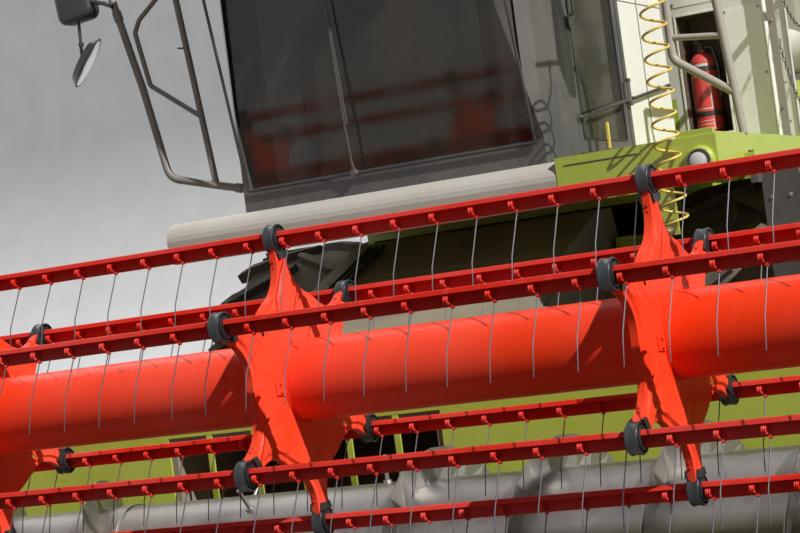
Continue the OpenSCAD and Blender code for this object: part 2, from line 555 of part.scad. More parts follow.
// Feeder house and header
module feeder_house() {
    color(lime) from_axle() {
        difference() {
            side_profile([[back_y + sheet_t + seat_gap, 250], [back_y + sheet_t + seat_gap, 950], [-800, 1770], [-620, 1780], [-470, 1300], [-560, 1160]], -feeder_half, feeder_half);
            side_profile([[back_y + sheet_t - 20, 320], [back_y + sheet_t - 20, 880], [-820, 1700], [-400, 1640], [-400, 1300], [-720, 1200]], -feeder_half + 40, feeder_half - 40);
        }
        both_sides() {
            across(feeder_pivot[0], feeder_pivot[1], feeder_half - 10, core_half - 4, 60);
            for (x = [350, 470]) block([x, x + 20], [lift_eye[0] - 50, lift_eye[0] + 50], [lift_eye[1] - 40, lift_eye[1] + 150]);
            across(lift_eye[0], lift_eye[1], 350, 490, 25);
        }
    }
}
function header_skin() = concat(
    [[knife_y, knife_z - 19], [knife_y + 60, knife_z - 19], [knife_y + 380, knife_z - 9]],
    arc([auger_y, auger_z], trough_r, -115, 0, 10),
    [[back_y, header_top], [back_y + sheet_t, header_top]],
    [for (p = arc([auger_y, auger_z], trough_r + sheet_t, 0, -115, 10)) p],
    [[knife_y + 380, knife_z - 29], [knife_y, knife_z - 29]]);
module header_frame() {
    color(lime) from_axle() {
        difference() {
            side_profile(header_skin(), -cut_half, cut_half);
            block([-feeder_half + 10, feeder_half - 10], [back_y - 60, back_y + 60], [300, 940]);
        }
        across(back_y + 60, header_top + 10, -arm_x - arm_w - 40, arm_x + arm_w + 40, 55);
        both_sides() {
            difference() {
                side_profile([[knife_y - 40, 60], [knife_y - 40, 420], [auger_y - 200, 900], [back_y, header_top + 40], [back_y + 120, header_top + 40], [back_y + 120, 130], [knife_y + 380, 60]], cut_half, cut_half + 12);
                across(auger_y, auger_z, cut_half - 50, cut_half + 50, 30 + seat_gap);
            }
            for (x = [arm_x - 42, arm_x + arm_w + 6]) block([x, x + 34], [arm_pivot[0] - 45, arm_pivot[0] + 45], [header_top, arm_pivot[1] + 45]);
            across(arm_pivot[0], arm_pivot[1], arm_x - 42, arm_x + arm_w + 40, 25);
            across(reel_foot[0], reel_foot[1], cut_half + 11, cut_half + 62, 16);
            crop_divider();
        }
        for (x = [-2 * spider_pitch : spider_pitch : 2 * spider_pitch]) if (abs(x) > feeder_half + 40) side_profile([[back_y + sheet_t - 1, 130], [back_y + 70, 200], [back_y + 70, header_top], [back_y + sheet_t - 1, header_top]], x - 30, x + 30);
    }
}
module crop_divider() {
    x = cut_half + 12;
    loft([
        [[x, knife_y, 100], [x + 70, knife_y, 100], [x + 70, knife_y, 560], [x, knife_y, 620]],
        [[x, -4700, 100], [x + 50, -4700, 100], [x + 50, -4700, 360], [x, -4700, 400]],
        [[x, -nose_reach, 120], [x + 16, -nose_reach, 120], [x + 16, -nose_reach, 170], [x, -nose_reach, 180]]]);
}
sections = floor(2 * (cut_half - 60) / section_pitch);
module knife_guards() {
    first = -sections * section_pitch / 2;
    color(steel) from_axle() translate([0, 0, knife_z - 19 + seat_gap]) linear_extrude(12) polygon(concat(
        [for (i = [0 : sections]) let (x = first + i * section_pitch) each [[x - 13, knife_y], [x - 11, knife_y - 60], [x, knife_y - 120], [x + 11, knife_y - 60], [x + 13, knife_y]]],
        [[-first + 20, knife_y], [-first + 20, knife_y + 40], [first - 20, knife_y + 40], [first - 20, knife_y]]));
}
module knife() {
    first = -sections * section_pitch / 2;
    color(steel) from_axle() translate([0, 0, knife_z - 7 + 2 * seat_gap]) linear_extrude(5) polygon(concat(
        [for (i = [0 : sections - 1]) let (x = first + i * section_pitch) each [[x, knife_y - 8], [x + section_pitch / 2 - 8, knife_y - 70], [x + section_pitch / 2 + 8, knife_y - 70]]],
        [[-first, knife_y - 8], [-first, knife_y + 18], [first, knife_y + 18]]));
}
// The intake auger: a drum, two flights that draw to the middle, and a ring of fingers there
module flight(x0, x1, hand) {
    turns = (x1 - x0) / 560;
    steps = round(turns * 20);
    loft([for (i = [0 : steps])
        let (a = hand * 360 * turns * i / steps, x = x0 + (x1 - x0) * i / steps)
        [for (q = hand < 0 ? [[190, -4], [auger_r, -3], [auger_r, 3], [190, 4]] : [[190, -4], [190, 4], [auger_r, 3], [auger_r, -3]])
            [x + q[1], q[0] * cos(a), q[0] * sin(a)]]]);
}
module intake_auger() {
    color(steel) from_axle() translate([0, auger_y, auger_z]) {
        difference() {
            across(0, 0, -cut_half + 20, cut_half - 20, 200);
            across(0, 0, -cut_half + 32, cut_half - 32, 186);
            for (a = [0 : 90 : 270]) rotate([a, 0, 0]) across(0, 110, -cut_half, cut_half, 35);
        }
        across(0, 0, -cut_half - 11, cut_half + 11, 30);
        flight(-cut_half + 40, -700, 1);
        mirror([1, 0, 0]) flight(-cut_half + 40, -700, 1);
        for (i = [-4 : 4]) rotate([i * 80 + 40, 0, 0]) translate([i * 150, 0, 188]) cylinder(r = 9, h = 127, $fn = 24);
    }
}

// Cylinders that lift the header
lift_len = norm(lift_eye - lift_foot);
module jack_barrel(x, foot, eye, r, bore, long, pin) {
    v = unit(eye - foot);
    difference() {
        union() {
            rod([x, foot[0], foot[1]], [x, foot[0] + v[0] * long, foot[1] + v[1] * long], 2 * r);
            across(foot[0], foot[1], x - r * 0.7, x + r * 0.7, r * 1.1);
        }
        rod([x, foot[0] + v[0] * pin * 4, foot[1] + v[1] * pin * 4], [x, foot[0] + v[0] * (long + 9), foot[1] + v[1] * (long + 9)], 2 * bore + 2 * seat_gap);
        across(foot[0], foot[1], x - 2 * r, x + 2 * r, pin + seat_gap);
    }
}
module jack_rod(x, foot, eye, bore, from, pin, eye_w) {
    v = unit(eye - foot);
    difference() {
        union() {
            rod([x, foot[0] + v[0] * from, foot[1] + v[1] * from], [x, eye[0], eye[1]], 2 * bore);
            across(eye[0], eye[1], x - eye_w / 2, x + eye_w / 2, pin + 26);
        }
        across(eye[0], eye[1], x - 3 * bore, x + 3 * bore, pin + 7);
    }
}
module lift_barrels() {
    color(dark) from_axle() both_sides() jack_barrel(420, lift_foot, lift_eye, 55, 30, 1000, 25);
}
module lift_rods() {
    color(steel) from_axle() both_sides() jack_rod(420, lift_foot, lift_eye, 30, 660, 25, 80);
}
module reel_barrels() {
    color(dark) from_axle() both_sides() jack_barrel(arm_x + 30, reel_foot, reel_eye, 24, 12, 380, 16);
}
module reel_lift_rods() {
    color(steel) from_axle() both_sides() jack_rod(arm_x + 30, reel_foot, reel_eye, 12, 160, 9, 30);
}

// Reel arms and slides
module reel_arms() {
    color(reel_red) from_axle() both_sides() {
        difference() {
            side_profile([[arm_pivot[0] + 60, arm_pivot[1] - 40], [arm_pivot[0] + 60, arm_pivot[1] + 40], [reel_y + 300, reel_z + 140], [reel_y - 420, reel_z + 140], [reel_y - 420, reel_z + 60], [reel_y + 300, reel_z + 60]], arm_x, arm_x + arm_w);
            across(arm_pivot[0], arm_pivot[1], arm_x - 50, arm_x + arm_w + 50, 25 + seat_gap);
        }
        for (x = [arm_x + 2, arm_x + arm_w - 10]) block([x, x + 8], [reel_eye[0] - 30, reel_eye[0] + 30], [reel_eye[1] - 24, reel_eye[1] + 90]);
        across(reel_eye[0], reel_eye[1], arm_x + 2, arm_x + arm_w - 2, 9);
    }
}
module slide_block() {
    difference() {
        block([arm_x - 12, arm_x + arm_w + 12], [reel_y - 90, reel_y + 90], [reel_z - 90, reel_z + 110]);
        block([arm_x - seat_gap, arm_x + arm_w + seat_gap], [reel_y - 400, reel_y + 400], [reel_z + 60 - seat_gap, reel_z + 200]);
    }
}
module reel_slides() {
    color(dark) from_axle() difference() {
        union() {
            both_sides() slide_block();
            across(star_at[0], star_at[1], star_x - 4, arm_x - 2, 160 - seat_gap);
        }
        across(reel_y, reel_z, -arm_x - 200, arm_x + 200, 35 + seat_gap);
    }
}

// The reel: tube, spiders, bearing rings, and six bars of tines that hang the same way all round
function bar_angle(i) = bar_lead + 360 * i / bars;
function bar_at(i) = [reel_y - reel_r * sin(bar_angle(i)), reel_z + reel_r * cos(bar_angle(i))];
function spider_x(k) = -reel_half + k * spider_pitch;
// A spider's outline: arms of one width, filleted into a round web
function half_gap(tip, half, web, fillet) = let (
        y = half + fillet,
        x = sqrt(pow(web + fillet, 2) - y * y),
        lean = asin(y / (web + fillet)))
    concat([[tip, half]], arc([x, y], fillet, 270, 180 + lean, 4));
function star(tip, half, web, fillet) = [for (i = [0 : bars - 1]) let (
        a = 360 * i / bars,
        gap = half_gap(tip, half, web, fillet),
        back = [for (k = [len(gap) - 1 : -1 : 0]) [gap[k][0], -gap[k][1]]])
    for (q = concat(back, gap)) [q[0] * cos(a) - q[1] * sin(a), q[0] * sin(a) + q[1] * cos(a)]];
module reel_rotor() {
    color(reel_red) from_axle() {
        difference() {
            across(reel_y, reel_z, -reel_half - 20, reel_half + 20, reel_tube_d / 2);
            across(reel_y, reel_z, -reel_half + 10, reel_half - 10, reel_tube_d / 2 - 8);
            for (a = [30 : 120 : 270]) rotate_about(reel_y, reel_z, a) across(reel_y, reel_z + 95, -arm_x, arm_x, 30);
        }
        across(reel_y, reel_z, -arm_x - arm_w + 5, arm_x + arm_w - 5, 35);
        for (k = [0 : spiders - 1]) translate([spider_x(k), reel_y, reel_z]) rotate([0, 90, 0])
            rotate(bar_lead) translate([0, 0, -25]) linear_extrude(50) difference() {
                polygon(star(reel_r - 14, spider_arm / 2, spider_web, 150));
                for (i = [0 : bars - 1]) rotate(360 * i / bars) translate([reel_r, 0]) circle(r = ring_r + seat_gap, $fn = 48);
            }
    }
}
module reel_caps() {
    color(dark) from_axle() for (k = [0 : spiders - 1]) for (i = [0 : bars - 1])
        translate([spider_x(k), bar_at(i)[0], bar_at(i)[1]]) rotate([0, 90, 0]) difference() {
            cylinder(r = ring_r, h = ring_w, center = true, $fn = 48);
            cylinder(r = ring_bore, h = ring_w + 2, center = true, $fn = 48);
        }
}
tines = floor((2 * reel_half - 100) / tine_pitch);
module tine_bar(i) {
    p = bar_at(i);
    x1 = reel_half + 30;
    from_axle() translate([0, p[0], p[1]]) rotate([tine_lean, 0, 0]) {
        color(reel_red) side_profile([[-24, 22], [-24, 2], [-20, 2], [-20, 18], [14, 18], [14, -31], [18, -31], [18, 22]], -reel_half - 30, x1);
        color(reel_red) for (k = [0 : spiders - 1]) across(0, 0, spider_x(k) - 30, spider_x(k) + 30, ring_bore - seat_gap);
        color(steel) for (t = [0 : tines - i % 2]) side_profile([[14, -20], [6, -34], [-21, -34 - tine_len * 0.62], [-7, -34 - tine_len], [-1, -34 - tine_len], [-14, -34 - tine_len * 0.62], [16, -34], [18, -20]], (t + (i % 2 - tines) / 2) * tine_pitch - 3, (t + (i % 2 - tines) / 2) * tine_pitch + 3);
    }
    color(reel_red) from_axle() translate([0, p[0], p[1]]) {
        side_profile([[-22, 30], [26, 18], [22, -20], [crank[0] + 14, crank[1] - 14], [crank[0] - 14, crank[1] - 14]], x1 - seat_gap, x1 + 8);
        across(crank[0], crank[1], x1 + 1, x1 + 28, 9);
    }
}
module eccentric_star() {
    color(reel_red) from_axle() translate([star_x, star_at[0], star_at[1]]) rotate([0, 90, 0]) rotate(bar_lead)
        linear_extrude(8) difference() {
            polygon(star(reel_r + 24, 24, 230, 150));
            circle(r = 160, $fn = 64);
            for (i = [0 : bars - 1]) rotate(i * 60) translate([reel_r, 0]) circle(r = 9 + seat_gap, $fn = 32);
        }
}

chassis_frame();
rear_axle();
body_shell();
side_panels();
grain_tank();
engine_hood();
engine_block();
straw_hood();
platform();
cab_step();
railings();
cab_frame();
cab_roof();
cab_glass();
operator_seat();
cab_controls();
mirrors();
lamps();
extinguisher();
air_hose();
cab_door();
door_glass();
boarding_ladder();
unloading_auger();
tank_cover_left();
tank_cover_right();
front_tyre_left();
front_rim_left();
mirror([1, 0, 0]) front_tyre_left();  // front_tyre_right
mirror([1, 0, 0]) front_rim_left();  // front_rim_right
knuckle_left();
rear_tyre_left();
rear_rim_left();
mirror([1, 0, 0]) knuckle_left();  // knuckle_right
mirror([1, 0, 0]) rear_tyre_left();  // rear_tyre_right
mirror([1, 0, 0]) rear_rim_left();  // rear_rim_right
tie_rod();
feeder_house();
header_frame();
knife_guards();
knife();
intake_auger();
lift_barrels();
lift_rods();
reel_arms();
reel_barrels();
reel_lift_rods();
reel_slides();
reel_rotor();
reel_caps();
tine_bar(0);  // tine_bar_1
tine_bar(1);  // tine_bar_2
tine_bar(2);  // tine_bar_3
tine_bar(3);  // tine_bar_4
tine_bar(4);  // tine_bar_5
tine_bar(5);  // tine_bar_6
eccentric_star();
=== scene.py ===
"""A combine harvester with a tined reel: its looks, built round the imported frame.

Places are given in machine millimetres, as in the part's source: X to the driver's left, Y back from the
front axle, Z up from the ground. at() turns them into the frame's metres.
"""
import json
import math

import bpy
import numpy as np
from mathutils import Matrix, Vector
from mathutils.geometry import delaunay_2d_cdt


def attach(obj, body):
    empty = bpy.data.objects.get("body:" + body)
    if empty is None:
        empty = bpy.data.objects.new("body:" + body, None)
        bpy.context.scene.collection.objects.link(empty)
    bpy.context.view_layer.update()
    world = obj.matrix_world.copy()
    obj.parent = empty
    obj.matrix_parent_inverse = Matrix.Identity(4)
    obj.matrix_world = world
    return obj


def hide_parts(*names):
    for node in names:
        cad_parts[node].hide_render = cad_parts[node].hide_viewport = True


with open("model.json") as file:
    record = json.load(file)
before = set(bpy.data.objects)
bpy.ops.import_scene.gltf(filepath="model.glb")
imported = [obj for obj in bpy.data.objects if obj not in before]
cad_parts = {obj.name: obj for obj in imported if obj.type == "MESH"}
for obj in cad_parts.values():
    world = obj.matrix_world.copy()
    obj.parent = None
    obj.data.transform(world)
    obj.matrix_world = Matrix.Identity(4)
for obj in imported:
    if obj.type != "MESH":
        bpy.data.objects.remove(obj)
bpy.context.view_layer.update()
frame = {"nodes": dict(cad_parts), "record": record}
nodes = frame["nodes"]

FRONT_AXLE = -0.4
WHEELBASE = 3750
DECK = 1985
SIDE_X = 1495
TANK_X = 1380
ROOF_LAMP_Z = 3590
REEL = (-4000, 1160)
REEL_R = 538
BAR_LEAD = 4.7
BAR_PITCH = -20
SPIDER_X = np.arange(6) * 1500 - 3750


def at(points):
    """Points in machine millimetres as frame metres."""
    return np.asarray(points, float) / 1000 + [0, FRONT_AXLE, 0]


# Shells. A shell is an array of points and a list of face arrays, one array for each number of corners

def outward(shell):
    """The shell with its faces turned outwards: the volume summed over its faces, fanned from the first
    corner, is made positive."""
    p, faces = shell
    volume = 0
    for f in faces:
        for k in range(1, f.shape[1] - 1):
            a, b, c = p[f[:, 0]], p[f[:, k]], p[f[:, k + 1]]
            volume += np.einsum("ij,ij->", a - p.mean(0), np.cross(b - p.mean(0), c - p.mean(0)))
    return shell if volume > 0 else (p, [f[:, ::-1] for f in faces])


def grid_faces(rows, columns, round_rows=False, round_columns=True):
    """Corner numbers of the quads of a grid of points, which may close on itself in either direction."""
    i = np.arange(rows if round_rows else rows - 1)[:, None]
    j = np.arange(columns if round_columns else columns - 1)[None, :]
    i2, j2 = (i + 1) % rows, (j + 1) % columns
    return np.stack(np.broadcast_arrays(i * columns + j, i * columns + j2, i2 * columns + j2,
                                        i2 * columns + j), -1).reshape(-1, 4)


def skin(rings, closed=False):
    """A closed shell over rings of points, one after the other; unless it closes on itself, each end is one
    flat face."""
    rings = np.asarray(rings, float)
    m, n = rings.shape[:2]
    faces = [grid_faces(m, n, closed)]
    if not closed:
        faces.append(np.stack([np.arange(n)[::-1], np.arange(n) + (m - 1) * n]))
    return outward((rings.reshape(-1, 3), faces))


def normal_frames(path):
    """For each point of a path, two directions across it, carried along without twisting."""
    path = np.asarray(path, float)
    t = np.gradient(path, axis=0)
    t /= np.linalg.norm(t, axis=1)[:, None]
    u = np.empty_like(t)
    u[0] = np.cross(t[0], [0, 0, 1] if abs(t[0][2]) < 0.9 else [1, 0, 0])
    for i in range(1, len(t)):
        u[i] = u[i - 1] - t[i] * (u[i - 1] @ t[i])
        u[i] /= np.linalg.norm(u[i])
    u[0] /= np.linalg.norm(u[0])
    return u, np.cross(t, u)


def bar_along(path, d, sides=16, closed=False):
    """A round bar of diameter d, or of one diameter for each point, carried along a path."""
    path = np.asarray(path, float)
    u, v = normal_frames(path)
    a = np.arange(sides) * 2 * np.pi / sides
    r = np.broadcast_to(np.asarray(d, float) / 2, len(path))[:, None, None]
    ring = np.cos(a)[None, :, None] * u[:, None] + np.sin(a)[None, :, None] * v[:, None]
    return skin(path[:, None] + r * ring, closed)


def bent(points, r, steps=8):
    """A path through points whose inner corners are arcs of radius r."""
    p = np.asarray(points, float)
    out = [p[:1]]
    for before, here, after in zip(p, p[1:], p[2:]):
        a, b = (before - here) / np.linalg.norm(before - here), (after - here) / np.linalg.norm(after - here)
        half = math.acos(np.clip(a @ b, -1, 1)) / 2
        if half > 1.55:
            out.append(here[None])
            continue
        c = here + (a + b) / np.linalg.norm(a + b) * r / math.sin(half)
        s, e = here + a * r / math.tan(half) - c, here + b * r / math.tan(half) - c
        turn = math.pi - 2 * half
        k = np.linspace(0, 1, steps + 1)[:, None]
        out.append(c + (s * np.sin(turn * (1 - k)) + e * np.sin(turn * k)) / math.sin(turn))
    return np.concatenate(out + [p[-1:]])


def lathe(profile, centre, axis="x", n=64):
    """A closed outline of (along, radius) points turned round an axis through centre; points on the axis
    close it to a pole."""
    profile = np.asarray(profile, float)
    a = np.arange(n) * 2 * np.pi / n
    c, s = np.cos(a)[None, :], np.sin(a)[None, :]
    w, r = profile[:, :1] + 0 * c, profile[:, 1:2]
    order = {"x": (w, r * c, r * s), "y": (r * s, w, r * c), "z": (r * c, r * s, w)}[axis]
    rings = np.stack(order, -1) + np.asarray(centre, float)
    if profile[0][1] > 1e-9:
        return outward((rings.reshape(-1, 3), [grid_faces(len(profile), n, True)]))
    first, last = rings[0, :1], rings[-1, :1]
    m, k = (len(profile) - 2) * n, np.arange(n)
    start = np.stack([np.full(n, m), k, (k + 1) % n], -1)
    end = np.stack([np.full(n, m + 1), (k + 1) % n + m - n, k + m - n], -1)
    points = np.concatenate([rings[1:-1].reshape(-1, 3), first, last])
    return outward((points, [grid_faces(len(profile) - 2, n), np.concatenate([end, start])[:, ::-1]]))


def collar(lo, hi, inner, outer, centre, axis="x", n=56):
    """A ring of square section between two places along an axis and two radii."""
    return lathe([[lo, inner], [lo, outer], [hi, outer], [hi, inner]], centre, axis, n)


def prism(outline, lo, hi, across="x"):
    """An outline drawn out between lo and hi. The outline's points are (y, z), (x, z) or (x, y), by the
    axis across which it is drawn."""
    q = np.asarray(outline, float)
    def put(w):
        k = np.full(len(q), float(w))
        return np.stack({"x": (k, q[:, 0], q[:, 1]), "y": (q[:, 0], k, q[:, 1]),
                         "z": (q[:, 0], q[:, 1], k)}[across], -1)
    return skin([put(lo), put(hi)])


def block(x, y, z):
    """A block between two values on each axis."""
    return prism([[y[0], z[0]], [y[1], z[0]], [y[1], z[1]], [y[0], z[1]]], x[0], x[1])


def rounded(x, z, r, n=5):
    """A rectangle's outline with rounded corners."""
    a = np.linspace(0, np.pi / 2, n + 1)
    out = []
    left, right, low, high = x[0] + r, x[1] - r, z[0] + r, z[1] - r
    for k, (cx, cz) in enumerate([(right, high), (left, high), (left, low), (right, low)]):
        t = a + k * np.pi / 2
        out.append(np.stack([cx + r * np.cos(t), cz + r * np.sin(t)], -1))
    return np.concatenate(out)


def moved(shell, matrix):
    """A shell after a 3 by 3 turn or a 4 by 4 matrix."""
    m = np.asarray(matrix, float)
    p = shell[0] @ m[:3, :3].T + (m[:3, 3] if m.shape == (4, 4) else 0)
    return outward((p, shell[1]))


def shifted(shell, by):
    return shell[0] + np.asarray(by, float), shell[1]


def mirrored(shell):
    """The shell on the machine's other side."""
    return shell[0] * [-1, 1, 1], [f[:, ::-1] for f in shell[1]]


def both(shells):
    return shells + [mirrored(s) for s in shells]


def on_side(side, shells):
    """Shells drawn on the left, as they are or on the machine's other side."""
    return shells if side == "left" else [mirrored(s) for s in shells]


def turn(axis, degrees, about=(0, 0, 0)):
    """A 4 by 4 matrix that turns round an axis through a point."""
    a = Vector(about)
    return np.array(Matrix.Translation(a) @ Matrix.Rotation(math.radians(degrees), 4,
                                                            axis) @ Matrix.Translation(-a))


def bolts(places, direction, head=17, tall=9):
    """Six-sided bolt heads on their washers, at places, pointing along direction."""
    d = np.asarray(direction, float)
    d = d / np.linalg.norm(d)
    out = []
    for p in np.asarray(places, float):
        base = p + d * np.array([[0], [tall * 0.3], [tall * 0.9], [tall]])
        for low, high, size, sides in ((0, 1, head * 1.45, 12), (1, 2, head, 6)):
            out.append(bar_along(np.stack([base[low], base[high]]), size, sides))
        out.append(bar_along(np.stack([base[2], base[3]]), [head, head * 0.8], 6))
    return out


def piece(name, shells, material, body="machine", edge=0.0, smooth=32, stands_for=()):
    """A piece of the object, from shells in machine millimetres, in a finish. edge
    rounds its sharp edges by that many millimetres; smooth is the angle in degrees past which an edge looks
    sharp."""
    counts = np.cumsum([0] + [len(p) for p, _ in shells])
    faces = [f + base for (_, fs), base in zip(shells, counts) for f in fs]
    points = at(np.concatenate([p for p, _ in shells]))
    corners = np.concatenate([f.ravel() for f in faces])
    sizes = np.concatenate([np.full(len(f), f.shape[1]) for f in faces])
    mesh = bpy.data.meshes.new(name)
    mesh.vertices.add(len(points))
    mesh.vertices.foreach_set("co", points.astype(np.float32).ravel())
    mesh.loops.add(len(corners))
    mesh.loops.foreach_set("vertex_index", corners.astype(np.int32))
    mesh.polygons.add(len(sizes))
    mesh.polygons.foreach_set("loop_start", (np.cumsum(sizes) - sizes).astype(np.int32))
    mesh.update(calc_edges=True)
    mesh.validate()
    mesh.polygons.foreach_set("use_smooth", np.ones(len(mesh.polygons), bool))
    mesh.set_sharp_from_angle(angle=math.radians(smooth))
    o = bpy.data.objects.new(name, mesh)
    bpy.context.scene.collection.objects.link(o)
    mesh.materials.append(material)
    if edge:
        rounding = o.modifiers.new("rounded_edges", "BEVEL")
        rounding.width, rounding.segments, rounding.limit_method = edge / 1000, 2, "ANGLE"
        rounding.angle_limit = math.radians(40)
        rounding.harden_normals = False
    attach(o, body)
    if stands_for:
        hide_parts(*stands_for)
    return o


# Camera: where the photographer stood, with the picture's own tilt

CAMERA_AT = (4.911, -11.326, 1.31)
YAW_PITCH_ROLL = (27.94, 1.6, -7.45)
FOCAL_LENGTH = 96.75


def place_camera():
    """The camera's axes from its yaw round Z, pitch above the level and roll round its line of sight, in
    degrees."""
    yaw, pitch, roll = (math.radians(a) for a in YAW_PITCH_ROLL)
    ahead = Vector((-math.sin(yaw) * math.cos(pitch), math.cos(yaw) * math.cos(pitch), math.sin(pitch)))
    right = Vector((math.cos(yaw), math.sin(yaw), 0))
    up = right.cross(ahead)
    r2 = right * math.cos(roll) + up * math.sin(roll)
    u2 = up * math.cos(roll) - right * math.sin(roll)
    data = bpy.data.cameras.new("camera")
    data.lens, data.sensor_width = FOCAL_LENGTH, 36
    data.clip_start, data.clip_end = 0.1, 200
    camera = bpy.data.objects.new("camera", data)
    bpy.context.scene.collection.objects.link(camera)
    camera.matrix_world = Matrix([*zip(r2, u2, -ahead, CAMERA_AT), (0, 0, 0, 1)])
    bpy.context.scene.camera = camera


place_camera()

# Node groups: the effects that more than one finish uses

class Wiring:
    """A node tree with short ways to add and link nodes."""

    def __init__(self, tree):
        self.tree = tree

    def add(self, kind, inputs=None, **settings):
        node = self.tree.nodes.new(kind)
        for k, v in settings.items():
            setattr(node, k, v)
        for k, v in (inputs or {}).items():
            self.feed(node.inputs[k], v)
        return node

    def feed(self, socket, value):
        if isinstance(value, bpy.types.NodeSocket):
            self.tree.links.new(value, socket)
        elif isinstance(value, bpy.types.Node):
            self.tree.links.new(value.outputs[0], socket)
        else:
            socket.default_value = value

    def math(self, operation, a, b=0.0, clamp=False):
        return self.add("ShaderNodeMath", {0: a, 1: b, 2: 0.0}, operation=operation,
                        use_clamp=clamp).outputs[0]

    def line(self, value, slope, start=0.0, clamp=False):
        """slope times value, plus start."""
        return self.add("ShaderNodeMath", {0: value, 1: slope, 2: start}, operation="MULTIPLY_ADD",
                        use_clamp=clamp).outputs[0]

    def ramp(self, value, low, high, out_low=0.0, out_high=1.0):
        return self.add("ShaderNodeMapRange", {0: value, 1: low, 2: high, 3: out_low, 4: out_high},
                        interpolation_type="SMOOTHSTEP").outputs[0]

    def mix(self, share, a, b, blend="MIX"):
        node = self.add("ShaderNodeMix", data_type="RGBA", blend_type=blend, clamp_factor=True)
        self.feed(node.inputs[0], share)
        self.feed(node.inputs[6], a)
        self.feed(node.inputs[7], b)
        return node.outputs[2]

    def noise(self, vector, scale, detail=4.0, roughness=0.55):
        return self.add("ShaderNodeTexNoise",
                        {"Vector": vector, "Scale": scale, "Detail": detail,
                         "Roughness": roughness}).outputs[0]

    def stretched(self, vector, scale, angle=(0, 0, 0)):
        return self.add("ShaderNodeMapping", {"Vector": vector, "Scale": scale, "Rotation": angle}).outputs[0]


def group(name, inputs, outputs, build):
    """A shader node group with named inputs (name: kind, default) and outputs (name: kind), wired by
    build."""
    tree = bpy.data.node_groups.new(name, "ShaderNodeTree")
    for label, (kind, value) in inputs.items():
        socket = tree.interface.new_socket(label, in_out="INPUT", socket_type=kind)
        socket.default_value = value
    for label, kind in outputs.items():
        tree.interface.new_socket(label, in_out="OUTPUT", socket_type=kind)
    w = Wiring(tree)
    entry, leave = w.add("NodeGroupInput"), w.add("NodeGroupOutput")
    for label, value in build(w, entry.outputs).items():
        w.feed(leave.inputs[label], value)
    return tree


NUMBER, COLOUR = "NodeSocketFloat", "NodeSocketColor"


def build_field_dust(w, given):
    """Dust that lies thickest on faces that look up and thins in drifts, and short pale straws on it."""
    place = w.add("ShaderNodeTexCoord")
    lift = w.add("ShaderNodeSeparateXYZ", {0: place.outputs["Normal"]}).outputs[2]
    faces_up = w.ramp(lift, -0.5, 0.95, 0.30, 1.0)
    drifts = w.ramp(w.noise(place.outputs["Object"], 2.2, 5.0, 0.62), 0.36, 0.68)
    grit = w.ramp(w.noise(place.outputs["Object"], 190.0, 2.0, 0.6), 0.30, 0.72, 0.55, 1.0)
    film = w.math("MULTIPLY", w.math("MULTIPLY", faces_up, w.line(drifts, 0.75, 0.25)), grit)
    film = w.math("MULTIPLY", film, given["Amount"], True)
    straws = None
    for turned_by, shape in (((0.3, 0.2, 0.5), (70, 190, 190)), ((1.1, 0.7, 1.9), (200, 75, 200)),
                             ((2.1, 1.3, 0.4), (190, 190, 80))):
        along = w.stretched(place.outputs["Object"], shape, turned_by)
        cell = w.add("ShaderNodeTexVoronoi", {"Vector": along, "Scale": 1.0, "Randomness": 1.0})
        thin = w.ramp(cell.outputs["Distance"], 0.10, 0.20, 1.0, 0.0)
        pick = w.add("ShaderNodeSeparateColor", {0: cell.outputs["Color"]}).outputs[0]
        one = w.math("MULTIPLY", thin, w.math("GREATER_THAN", pick, 0.93))
        straws = one if straws is None else w.math("MAXIMUM", straws, one)
    patch = w.ramp(w.noise(place.outputs["Object"], 4.0, 3.0), 0.42, 0.62, 0.12, 1.0)
    straws = w.math("MULTIPLY", w.math("MULTIPLY", straws, patch),
                    w.math("MULTIPLY", given["Straw"], faces_up), True)
    return {"Film": film, "Straws": straws}


def build_paint_wear(w, given):
    """Chips and scuffs where a noise passes a threshold, broken up by a finer one."""
    place = w.add("ShaderNodeTexCoord").outputs["Object"]
    big = w.noise(place, given["Scale"], 6.0, 0.68)
    fine = w.noise(place, w.math("MULTIPLY", given["Scale"], 9.0), 3.0, 0.6)
    level = w.math("ADD", big, w.line(fine, 0.28, -0.14))
    chips = w.ramp(level, w.line(given["Amount"], -0.30, 0.84), w.line(given["Amount"], -0.30, 0.87))
    streaks = w.noise(w.stretched(place, (26, 26, 3)), 1.0, 4.0)
    scuffs = w.math("MULTIPLY", w.ramp(streaks, 0.56, 0.74), given["Amount"])
    return {"Chips": chips, "Scuffs": scuffs}


def build_sprayed_skin(w, given):
    """The fine waviness of sprayed or moulded surfaces, with slow dents under it."""
    place = w.add("ShaderNodeTexCoord").outputs["Object"]
    fine = w.noise(place, given["Scale"], 2.0)
    slow = w.noise(place, 3.0, 2.0)
    return {"Height": w.math("ADD", w.line(fine, 0.3), slow)}


def build_colour_drift(w, given):
    """A colour whose lightness and strength drift a little over the surface, as sun and washing leave
    it."""
    place = w.add("ShaderNodeTexCoord").outputs["Object"]
    slow = w.noise(place, 1.3, 3.0)
    fine = w.noise(place, 24.0, 4.0)
    both_ways = w.math("ADD", w.line(slow, 0.7), w.line(fine, 0.3))
    value = w.ramp(both_ways, 0.3, 0.7, w.line(given["Drift"], -1.0, 1.0), w.line(given["Drift"], 1.0, 1.0))
    strength = w.ramp(slow, 0.3, 0.7, 1.0, w.line(given["Drift"], -0.8, 1.0))
    out = w.add("ShaderNodeHueSaturation",
                {"Hue": 0.5, "Saturation": strength, "Value": value, "Fac": 1.0, "Color": given["Colour"]})
    return {"Colour": out.outputs[0]}


